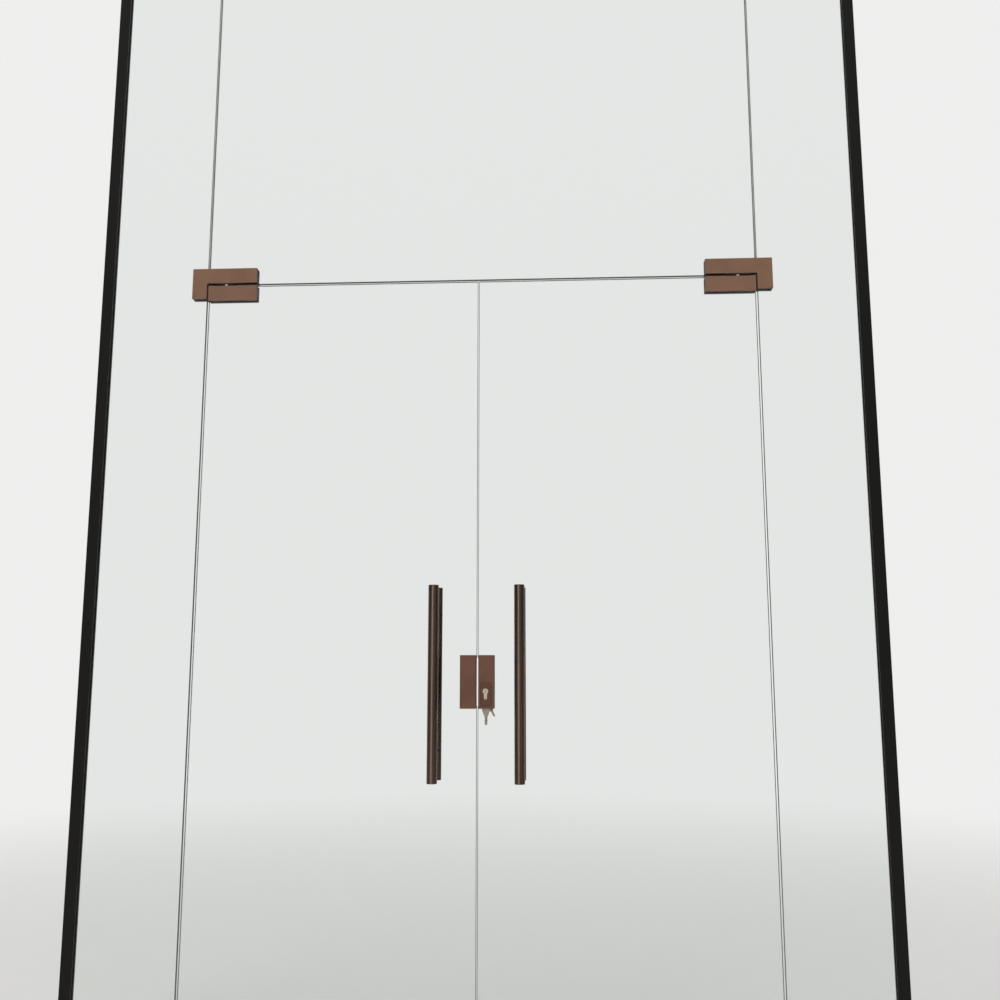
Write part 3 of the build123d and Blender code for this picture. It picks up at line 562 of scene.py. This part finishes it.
def soften(piece, width, segments=2, sharp=40.0):
    """Rounds the edges that turn by more than so many degrees, and smooths what lies between them."""
    modifier = piece.modifiers.new("Soften", "BEVEL")
    modifier.width = width
    modifier.segments = segments
    modifier.limit_method = "ANGLE"
    modifier.angle_limit = math.radians(sharp)
    modifier.use_clamp_overlap = True
    start_fresh()
    apply_all(piece)
    piece.select_set(True)
    bpy.ops.object.shade_smooth_by_angle(angle=math.radians(sharp))


def box_between(low, high):
    """A block from its lowest to its highest corner."""
    start_fresh()
    low, high = Vector(low), Vector(high)
    bpy.ops.mesh.primitive_cube_add(size=1.0, location=(low + high) / 2, scale=high - low)
    piece = bpy.context.object
    settle(piece)
    return piece


def round_block(radius, depth, location, lying=False, sides=ROUND_SIDES):
    """A round block about its middle, upright or lying along Y."""
    start_fresh()
    turn = (QUARTER_TURN, 0.0, 0.0) if lying else (0.0, 0.0, 0.0)
    bpy.ops.mesh.primitive_cylinder_add(
        vertices=sides, radius=radius, depth=depth, location=location, rotation=turn
    )
    piece = bpy.context.object
    settle(piece)
    return piece


def round_bar(radius, y0, y1, z=0.0, sides=ROUND_SIDES):
    """A round block along Y, between two places on it."""
    return round_block(radius, abs(y1 - y0), (0.0, (y0 + y1) / 2, z), lying=True, sides=sides)


def move_to(piece, matrix):
    """Moves a piece that was drawn at the origin to where it belongs."""
    piece.matrix_world = matrix @ piece.matrix_world
    settle(piece)


def copy_to(piece, matrix):
    """A copy of a piece that was drawn at the origin, with its own mesh, moved to where it belongs."""
    twin = piece.copy()
    twin.data = piece.data.copy()
    bpy.context.scene.collection.objects.link(twin)
    move_to(twin, matrix)
    return twin


def joined(pieces):
    """Several small pieces made one object."""
    start_fresh()
    for piece in pieces:
        piece.select_set(True)
    bpy.context.view_layer.objects.active = pieces[0]
    bpy.ops.object.join()
    return pieces[0]


def install(piece, name, material, body, replaced=()):
    """Names a finished piece, and gives it its finish, its body and what it stands for."""
    settle(piece)
    piece.name = name
    piece.data.name = name
    piece.data.materials.clear()
    piece.data.materials.append(material)
    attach(piece, body)
    if replaced:
        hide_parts(*replaced)


# Screws

def socket_screw(radius):
    """A low raised head with a hexagon socket, drawn standing on the XY plane."""
    height = radius * SCREW_HEIGHT
    head = round_block(radius, height, (0.0, 0.0, height / 2))
    bpy.ops.object.mode_set(mode="EDIT")
    pick(lambda face: face.normal.z > 0.9)
    bpy.ops.mesh.inset(thickness=radius * SCREW_RIM, depth=height * SCREW_RISE)
    bpy.ops.object.mode_set(mode="OBJECT")
    middle = (0.0, 0.0, height * SOCKET_MIDDLE)
    cut(head, round_block(radius * SCREW_SOCKET, height * SOCKET_LENGTH, middle, sides=6))
    soften(head, radius * SCREW_EDGE, segments=1, sharp=30.0)
    return head


def screw_set(radius, spots):
    """One screw, copied to each spot and made one object."""
    first = socket_screw(radius)
    screws = [copy_to(first, spot) for spot in spots]
    bpy.data.objects.remove(first)
    return joined(screws)


# Keys and key ring

def cut_blade(piece, details, width, top_z, tip_z):
    """Mills the groove along both faces of a blade and files the notches in its edge."""
    half = details.key_thickness / 2
    groove = details.groove_width / 2
    for side in (-1, 1):
        faces = sorted((side * (half - details.groove_depth), side * 2 * half))
        low = (-groove, faces[0], tip_z - width)
        cut(piece, box_between(low, (groove, faces[1], top_z + groove)))
    step = (top_z - tip_z) / (details.notches + 1)
    for index in range(details.notches):
        wave = math.sin(NOTCH_STEP * index + NOTCH_START)
        depth = details.notch_depth * (NOTCH_MEAN + NOTCH_SWING * wave)
        middle = (width / 2 + depth, 0.0, top_z - (index + 1) * step)
        cut(piece, round_block(2 * depth, 8 * half, middle, lying=True, sides=3))


def finish_key(piece, details, panel_z, panel_radius):
    """Drills the hole at the origin, sinks a plain round panel in both faces and breaks the edges."""
    half = details.key_thickness / 2
    cut(piece, round_bar(details.key_hole, -4 * half, 4 * half))
    for side in (-1, 1):
        floor_y = side * (half - details.groove_depth)
        cut(piece, round_bar(panel_radius, floor_y, side * 2 * half, z=panel_z))
    soften(piece, KEY_EDGE, segments=1)


def inserted_key(details, blade_length):
    """The key in the inside plug, drawn hanging: hole at the origin, blade down, faces across Y."""
    half = details.key_thickness / 2
    bow_z = details.key_hole_inset - details.bow_length / 2
    bow = round_bar(details.bow_width / 2, -half, half, sides=BOW_SIDES)
    bow.scale = (1.0, 1.0, details.bow_length / details.bow_width)
    bow.location.z = bow_z
    settle(bow)
    neck_z = details.key_hole_inset - details.bow_length
    width = details.blade_width
    blade = box_between((-width / 2, -half, neck_z - blade_length), (width / 2, half, bow_z))
    cut_blade(blade, details, width, neck_z, neck_z - blade_length)
    cut(bow, blade, "UNION")
    panel_z = bow_z - details.key_hole_inset / 2
    finish_key(bow, details, panel_z, details.bow_width * INSERTED_PANEL)
    return bow


def spare_key(details, scale):
    """A spare key: round bow, straight sides, tapered shoulders, notched blade with a pointed tip."""
    half = details.key_thickness / 2
    bow_half = scale * details.bow_width / 2
    bow_z = details.key_hole + details.spare_rim - bow_half
    hang_z = details.key_hole + details.spare_rim - scale * details.spare_bow
    shoulder_z = hang_z - scale * details.spare_taper
    tip_z = shoulder_z - scale * details.spare_blade
    width = scale * details.spare_width
    blade = box_between((-width / 2, -half, tip_z), (width / 2, half, bow_z))
    bpy.ops.object.mode_set(mode="EDIT")
    for z in (hang_z, shoulder_z, tip_z + width / 2):
        bpy.ops.mesh.select_all(action="SELECT")
        bpy.ops.mesh.bisect(plane_co=(0.0, 0.0, z), plane_no=(0.0, 0.0, 1.0))
    margin = details.key_thickness / 10
    pick(lambda vertex: vertex.co.z > hang_z - margin, "VERT")
    widen = (2 * bow_half / width, 1.0, 1.0)
    bpy.ops.transform.resize(value=widen, center_override=(0.0, 0.0, hang_z))
    pick(lambda vertex: vertex.co.z < tip_z + margin, "VERT")
    bpy.ops.transform.resize(value=(SPARE_POINT, 1.0, 1.0), center_override=(0.0, 0.0, tip_z))
    bpy.ops.object.mode_set(mode="OBJECT")
    cut_blade(blade, details, width, shoulder_z, tip_z + width / 2)
    bow = round_bar(bow_half, -half, half, z=bow_z, sides=BOW_SIDES)
    cut(bow, blade, "UNION")
    finish_key(bow, details, (bow_z + hang_z) / 2, bow_half * SPARE_PANEL)
    return bow


def split_ring(details, radius):
    """A ring of nearly two turns of flat wire, drawn about Z."""
    start_fresh()
    bpy.ops.mesh.primitive_plane_add(size=1.0, rotation=(QUARTER_TURN, 0.0, 0.0))
    ring = bpy.context.object
    turn_width = details.ring_width / 2
    ring.scale = (details.ring_depth, turn_width * RING_FILL, 1.0)
    ring.location = (radius, 0.0, -turn_width / 2)
    settle(ring)
    screw = ring.modifiers.new("Turns", "SCREW")
    screw.angle = math.radians(RING_DEGREES)
    screw.screw_offset = turn_width * RING_DEGREES / 360.0
    screw.steps = RING_STEPS
    screw.render_steps = RING_STEPS
    screw.use_merge_vertices = False
    screw.use_normal_calculate = True
    start_fresh()
    apply_all(ring)
    bpy.ops.object.mode_set(mode="EDIT")
    bpy.ops.mesh.select_all(action="DESELECT")
    bpy.ops.mesh.select_mode(type="EDGE")
    bpy.ops.mesh.select_non_manifold(
        extend=False, use_wire=False, use_multi_face=False, use_non_contiguous=False, use_verts=False
    )
    bpy.ops.mesh.edge_face_add()
    bpy.ops.mesh.select_all(action="SELECT")
    bpy.ops.mesh.normals_make_consistent(inside=False)
    bpy.ops.object.mode_set(mode="OBJECT")
    soften(ring, details.ring_depth * RING_EDGE)
    return ring


# Operators, one for each piece or group of like pieces

class DOOR_OT_channels(Operator):
    """Finish the channels with their gaskets, setting blocks and silicone joints"""

    bl_idname = "door.channels"
    bl_label = "Channels"

    def execute(self, context):
        colors = context.scene.door_finishes
        channel = solid_finish(
            "Black anodised", colors.channel, metallic=0.0, roughness=0.34, variation=0.16, mottle=2.2,
            stretch=(1.0, 1.0, 0.3), grain=500.0, grain_stretch=(1.0, 1.0, 0.03), dust=0.06, edge_highlight=0.35,
        )
        set_evenly(channel, Specular_IOR_Level=0.16)
        dress(channel, *both("wall_channel", "sill_channel"), "head_channel")
        rubber = solid_finish(
            "Gasket rubber", colors.rubber, metallic=0.0, roughness=0.75, mottle=30.0, dust=0.1
        )
        dress(rubber, "channel_gaskets")
        blocks = solid_finish(
            "Setting block plastic", colors.block, metallic=0.0, roughness=0.6, mottle=30.0, dust=0.2
        )
        dress(blocks, "setting_blocks")
        joint = solid_finish(
            "Clear silicone", colors.silicone, metallic=0.0, roughness=0.42, mottle=12.0, dust=0.0
        )
        set_evenly(joint, Subsurface_Weight=0.2)
        dress(joint, "silicone_joints")
        return {"FINISHED"}


class DOOR_OT_glass(Operator):
    """Finish the leaves, the sidelights and the transom"""

    bl_idname = "door.glass"
    bl_label = "Glass"

    def execute(self, context):
        colors = context.scene.door_finishes
        for side in SIDES:
            low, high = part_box(f"{side}_outside_pull")
            middle = (low + high) / 2
            leaf = glass_finish(f"{side.title()} leaf glass", colors, touched=(middle.x, 0.0, middle.z))
            dress(leaf, f"{side}_leaf_glass")
        out_of_reach = (0.0, 0.0, -2.0)
        fixed = glass_finish("Fixed glass", colors, touched=out_of_reach)
        dress(fixed, *both("sidelight_glass"), "transom_glass")
        return {"FINISHED"}


class DOOR_OT_patches(Operator):
    """Finish the corner patches and the door patches with their pins, bushes, pads and screws"""

    bl_idname = "door.patches"
    bl_label = "Patches"

    def execute(self, context):
        colors = context.scene.door_finishes
        # The covers get painted shade on their sides and a painted highlight on their edges.
        cover = solid_finish(
            "Bronze anodised", colors.cover, metallic=0.75, roughness=0.4, variation=0.07, mottle=14.0,
            grain=1600.0, grain_depth=0.000025, dust=0.16, edge_highlight=0.5, sides=0.9,
        )
        dress(cover, *both("corner_patch_covers", "top_patch_covers", "bottom_patch_covers"))
        casting = solid_finish(
            "Cast alloy", colors.casting, metallic=0.8, roughness=0.55, variation=0.2, mottle=40.0,
            grain=700.0, grain_depth=0.00008,
        )
        dress(casting, *both("corner_patch_body", "top_patch_body", "bottom_patch_body"))
        steel = solid_finish(
            "Turned steel", colors.steel, metallic=1.0, roughness=0.24, variation=0.06, mottle=60.0,
            grain=1500.0, grain_stretch=(1.0, 1.0, 4.0), dust=0.05,
        )
        dress(steel, "corner_patch_screws", *both("clamp_screws", "floor_spindle"))
        pin = solid_finish(
            "Plated pin", colors.pin, metallic=0.15, roughness=0.32, variation=0.04, mottle=60.0, dust=0.0
        )
        dress(pin, "top_pivot_pins")
        rubber = solid_finish(
            "Clamping pad", colors.rubber, metallic=0.0, roughness=0.7, mottle=30.0, dust=0.0
        )
        dress(rubber, "corner_patch_pads", *both("glass_pads"))
        nylon = solid_finish(
            "Bush nylon", colors.nylon, metallic=0.0, roughness=0.45, mottle=50.0, dust=0.1
        )
        dress(nylon, *both("pivot_bush"))
        return {"FINISHED"}


class DOOR_OT_pulls(Operator):
    """Finish the pull bars and their posts, and add the set screws under the posts"""

    bl_idname = "door.pulls"
    bl_label = "Pull bars"

    def execute(self, context):
        tube = solid_finish(
            "Dark bronze tube", context.scene.door_finishes.pull, metallic=1.0, roughness=0.28,
            mottle=6.0, stretch=(1.0, 1.0, 0.4), grain=700.0, grain_stretch=(1.0, 1.0, 0.05),
            dust=0.1, edge_highlight=0.4,
        )
        dress(tube, *both("outside_pull", "inside_pull", "pull_posts"))
        details = context.scene.door_details
        steel = bpy.data.materials["Turned steel"]
        upside_down = Matrix.Rotation(HALF_TURN, 4, "X")
        for side in SIDES:
            low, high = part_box(f"{side}_pull_posts")
            middle_x = (low.x + high.x) / 2
            post_width = high.x - low.x
            spots = [
                Matrix.Translation((middle_x, y, z)) @ upside_down
                for y in (-details.grub_inset, details.grub_inset)
                for z in (low.z, high.z - post_width)
            ]
            screws = screw_set(details.grub_screw, spots)
            install(screws, f"{side}_post_screws", steel, f"{side}_leaf")
        return {"FINISHED"}


class DOOR_OT_lock(Operator):
    """Finish the lock and the strike with the bolt and the cylinder"""

    bl_idname = "door.lock"
    bl_label = "Lock"

    def execute(self, context):
        colors = context.scene.door_finishes
        # Painted shade on the covers' sides and round the escutcheon, and a painted highlight on their
        # edges.
        cover = solid_finish(
            "Reddish bronze", colors.lock, metallic=0.7, roughness=0.42, variation=0.08, mottle=16.0,
            grain=1600.0, grain_depth=0.000025, dust=0.16, edge_highlight=0.5, sides=0.9, corner_shade=0.9,
        )
        dress(cover, "lock_covers", "strike_covers")
        handled = [value * HANDLED_TONE for value in colors.lock]
        # A painted highlight along the escutcheon's edges.
        escutcheon = solid_finish(
            "Handled bronze", handled, metallic=0.75, roughness=0.34, variation=0.1, mottle=30.0,
            grain=1600.0, dust=0.16, edge_highlight=0.9,
        )
        dress(escutcheon, "lock_escutcheons")
        dress(bpy.data.materials["Cast alloy"], "lock_case", "strike_case")
        dress(bpy.data.materials["Turned steel"], "deadbolt")
        nickel = solid_finish(
            "Satin nickel", colors.nickel, metallic=1.0, roughness=0.26, variation=0.06, mottle=90.0,
            grain=2400.0, dust=0.1, edge_highlight=0.4,
        )
        dress(nickel, "lock_cylinder", "outside_plug", "inside_plug")
        return {"FINISHED"}


class DOOR_OT_keys(Operator):
    """Model the keys and their ring in place of the plain ones"""

    bl_idname = "door.keys"
    bl_label = "Keys"

    def execute(self, context):
        details = context.scene.door_details
        metal = solid_finish(
            "Key metal", context.scene.door_finishes.key, metallic=1.0, roughness=0.3, variation=0.14,
            mottle=120.0, grain=2600.0, dust=0.0, edge_highlight=0.6,
        )
        low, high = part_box("key")
        axis = Vector(joints["key_turn"]["pos_m"])
        hole = Vector((axis.x, high.y - details.key_hole_inset, axis.z))
        lying = Matrix.Rotation(-QUARTER_TURN, 4, "X") @ Matrix.Rotation(QUARTER_TURN, 4, "Z")
        key = inserted_key(details, high.y - details.bow_length - low.y)
        move_to(key, Matrix.Translation(hole) @ lying)
        install(key, "inserted_key", metal, "keyed_plug", ("key",))

        low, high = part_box("key_ring")
        centre = (low + high) / 2
        radius = (high.z - low.z - details.ring_depth) / 2
        spacing = details.spare_spacing
        hang_z = low.z + details.ring_depth / 2 - details.ring_drop
        long_key = (1.0, 0.0, -spacing)
        short_key = (details.short_scale, details.short_lean, spacing)
        spares = []
        for scale, lean, offset in (long_key, short_key):
            spare = spare_key(details, scale)
            spot = Matrix.Translation((centre.x + offset, centre.y + offset, hang_z))
            move_to(spare, spot @ Matrix.Rotation(-lean, 4, "Y"))
            spares.append(spare)
        install(joined(spares), "spare_key_pair", metal, "keyed_plug", ("spare_keys",))

        ring = split_ring(details, radius)
        upright = Matrix.Rotation(details.ring_turn, 4, "Z") @ Matrix.Rotation(QUARTER_TURN, 4, "X")
        move_to(ring, Matrix.Translation(centre) @ upright)
        nickel = bpy.data.materials["Satin nickel"]
        install(ring, "split_key_ring", nickel, "keyed_plug", ("key_ring",))
        return {"FINISHED"}


class DOOR_OT_floor_springs(Operator):
    """Finish the floor springs, their boxes and their cover plates, and add the plates' screws"""

    bl_idname = "door.floor_springs"
    bl_label = "Floor springs"

    def execute(self, context):
        colors = context.scene.door_finishes
        iron = solid_finish(
            "Painted iron", colors.iron, metallic=0.0, roughness=0.5, variation=0.2, mottle=30.0,
            grain=500.0,
        )
        dress(iron, *both("floor_spring"))
        sheet = solid_finish(
            "Galvanised sheet", colors.sheet, metallic=0.9, roughness=0.45, variation=0.2, mottle=45.0,
            dust=0.1,
        )
        dress(sheet, *both("floor_box"))
        plate = solid_finish(
            "Brushed plate", colors.plate, metallic=1.0, roughness=0.3, variation=0.08, mottle=12.0,
            stretch=(0.2, 1.0, 1.0), grain=1400.0, grain_stretch=(0.03, 1.0, 1.0), grain_depth=0.00003,
            dust=0.3, edge_highlight=0.3,
        )
        dress(plate, *both("floor_plate"))
        details = context.scene.door_details
        steel = bpy.data.materials["Turned steel"]
        for side, outward in zip(SIDES, (-1, 1)):
            pivot = Vector(joints[f"{side}_leaf_swing"]["pos_m"])
            spots = [
                Matrix.Translation((pivot.x + outward * along, y, 0.0))
                for along in (-details.plate_screw_far, details.plate_screw_near)
                for y in (-details.plate_screw_across, details.plate_screw_across)
            ]
            screws = screw_set(details.plate_screw, spots)
            install(screws, f"{side}_plate_screws", steel, "frame")
        return {"FINISHED"}


class DOOR_OT_stage(Operator):
    """Build the floor, the surroundings, the lights and the camera"""

    bl_idname = "door.stage"
    bl_label = "Stage"

    def execute(self, context):
        studio = context.scene.door_studio
        make_floor(studio)
        make_surroundings(context.scene, studio)
        make_lights(studio)
        make_camera(context.scene, studio)
        context.scene.view_settings.view_transform = "Standard"
        return {"FINISHED"}


# Stage

def ray_kinds(g):
    """Two factors, 1 for some rays and 0 for others.

    The first is for rays that come straight from the eye or through glass, the second for rays that
    a surface reflects.
    """
    path = g.add("ShaderNodeLightPath").outputs
    straight = g.math("MAXIMUM", path["Is Camera Ray"], path["Is Transmission Ray"])
    not_through = g.math("SUBTRACT", 1.0, path["Is Transmission Ray"])
    return straight, g.product(path["Is Glossy Ray"], not_through)


def make_floor(studio):
    """A wide round floor that fades into the backdrop, as the eye and reflections see it."""
    start_fresh()
    bpy.ops.mesh.primitive_circle_add(
        vertices=FLOOR_SIDES, radius=studio.floor_radius, fill_type="NGON",
        location=(0.0, 0.0, -studio.floor_drop),
    )
    floor = bpy.context.object
    settle(floor)
    floor.name = "studio_floor"
    material, g, shader, out = bare_material("Studio floor")
    place = g.coordinates()
    far = g.remap(g.vector("LENGTH", {0: place}, "Value"), studio.fade_start, studio.fade_end)
    dark = scaled(studio.floor, FLOOR_DARK)
    pale = scaled(studio.floor, FLOOR_PALE)
    g.feed(shader.inputs["Base Color"], g.blend(g.noise(place, 7.0, 5.0), dark, pale))
    set_evenly(material, Roughness=0.85)
    straight, reflected = ray_kinds(g)
    strength = g.math("ADD", straight, g.product(reflected, studio.front_gloss))
    glow = g.add("ShaderNodeEmission", {"Color": opaque(studio.backdrop), "Strength": strength})
    factor = g.product(far, g.math("MAXIMUM", straight, reflected))
    mixed = g.add("ShaderNodeMixShader", {0: factor, 1: shader.outputs[0], 2: glow.outputs[0]})
    g.feed(out.inputs["Surface"], mixed.outputs[0])
    floor.data.materials.append(material)


def reflected_studio(g, studio):
    """Strength of the surroundings in reflections: bright ahead, behind and overhead, dim at the sides."""
    way = g.add("ShaderNodeSeparateXYZ", {0: g.coordinates("Generated")}).outputs
    level = g.add("ShaderNodeCombineXYZ", {0: way["X"], 1: way["Y"]}).outputs[0]
    ahead = g.math("ABSOLUTE", g.component(g.vector("NORMALIZE", {0: level}), "Y"))
    ground = g.remap(ahead, 0.25, 0.95, studio.side_gloss, studio.front_gloss)
    overhead = g.product(g.remap(way["Z"], 0.25, 0.85), studio.top_gloss)
    return g.math("ADD", ground, overhead)


def make_surroundings(scene, studio):
    """Pale surroundings: plain to the eye, softer as a lamp, and shaped in reflections."""
    world = bpy.data.worlds.new("Studio air")
    world.use_nodes = True
    world.node_tree.nodes.clear()
    g = Graph(world.node_tree)
    straight, reflected = ray_kinds(g)
    seen, lamp, mirrored = [
        g.add("ShaderNodeBackground", {"Color": opaque(studio.backdrop), "Strength": strength}).outputs[0]
        for strength in (1.0, studio.air_light, reflected_studio(g, studio))
    ]
    first = g.add("ShaderNodeMixShader", {0: straight, 1: lamp, 2: seen}).outputs[0]
    mixed = g.add("ShaderNodeMixShader", {0: reflected, 1: first, 2: mirrored}).outputs[0]
    g.add("ShaderNodeOutputWorld", {"Surface": mixed})
    scene.world = world


def area_light(name, power, size, place, target, color=(1.0, 1.0, 1.0)):
    """A soft light that neither glass nor metal shows."""
    lamp = bpy.data.lights.new(name, "AREA")
    lamp.energy = power
    lamp.shape = "RECTANGLE"
    lamp.size, lamp.size_y = size
    lamp.color = color
    holder = bpy.data.objects.new(name, lamp)
    holder.location = place
    holder.rotation_euler = (Vector(target) - Vector(place)).to_track_quat("-Z", "Y").to_euler()
    holder.visible_glossy = False
    holder.visible_transmission = False
    bpy.context.scene.collection.objects.link(holder)
    return holder


def make_lights(studio):
    """Three soft lights, and a tall strip that the round bars and pins alone show."""
    size = (studio.lamp_size, studio.lamp_size)
    target = studio.lamp_target
    area_light("Key light", studio.key_power, size, studio.key_place, target, studio.key_color)
    area_light("Fill light", studio.fill_power, size, studio.fill_place, target, studio.fill_color)
    area_light("Back light", studio.fill_power, size, studio.back_place, target)
    size = (studio.bar_width, studio.bar_height)
    strip = area_light("Bar light", studio.bar_power, size, studio.bar_place, studio.bar_target)
    strip.visible_glossy = True
    lit = bpy.data.collections.new("Pull bars and pins")
    for name in ("top_pivot_pins", *both("outside_pull", "inside_pull", "pull_posts")):
        lit.objects.link(nodes[name])
    strip.light_linking.receiver_collection = lit


def make_camera(scene, studio):
    """The camera that took the photo."""
    camera = bpy.data.cameras.new("Photo camera")
    camera.lens = studio.lens
    camera.sensor_width = studio.sensor
    camera.clip_end = studio.sight
    holder = bpy.data.objects.new("Photo camera", camera)
    holder.location = studio.eye
    holder.rotation_euler = (QUARTER_TURN + studio.eye_tilt, 0.0, studio.eye_turn)
    scene.collection.objects.link(holder)
    scene.camera = holder


# Panel and registration

class DOOR_PT_panel(Panel):
    """Lists the steps that dress the door, and the sizes and colours that they use"""

    bl_idname = "DOOR_PT_panel"
    bl_label = "Glass entrance door"
    bl_space_type = "VIEW_3D"
    bl_region_type = "UI"
    bl_category = "Door"

    def draw(self, context):
        for operator in OPERATORS:
            self.layout.operator(operator.bl_idname)
        scene = context.scene
        for group in (scene.door_finishes, scene.door_details, scene.door_studio):
            box = self.layout.box()
            for name in group.bl_rna.properties.keys():
                if name not in ("rna_type", "name"):
                    box.prop(group, name)


OPERATORS = (
    DOOR_OT_channels,
    DOOR_OT_glass,
    DOOR_OT_patches,
    DOOR_OT_pulls,
    DOOR_OT_lock,
    DOOR_OT_keys,
    DOOR_OT_floor_springs,
    DOOR_OT_stage,
)
CLASSES = (DoorFinishes, DoorDetails, DoorStudio, *OPERATORS, DOOR_PT_panel)


def register():
    for item in CLASSES:
        bpy.utils.register_class(item)
    bpy.types.Scene.door_finishes = PointerProperty(type=DoorFinishes)
    bpy.types.Scene.door_details = PointerProperty(type=DoorDetails)
    bpy.types.Scene.door_studio = PointerProperty(type=DoorStudio)


def unregister():
    del bpy.types.Scene.door_studio
    del bpy.types.Scene.door_details
    del bpy.types.Scene.door_finishes
    for item in reversed(CLASSES):
        bpy.utils.unregister_class(item)


def main():
    register()
    for operator in OPERATORS:
        group, name = operator.bl_idname.split(".")
        getattr(getattr(bpy.ops, group), name)()


if __name__ == "__main__":
    main()
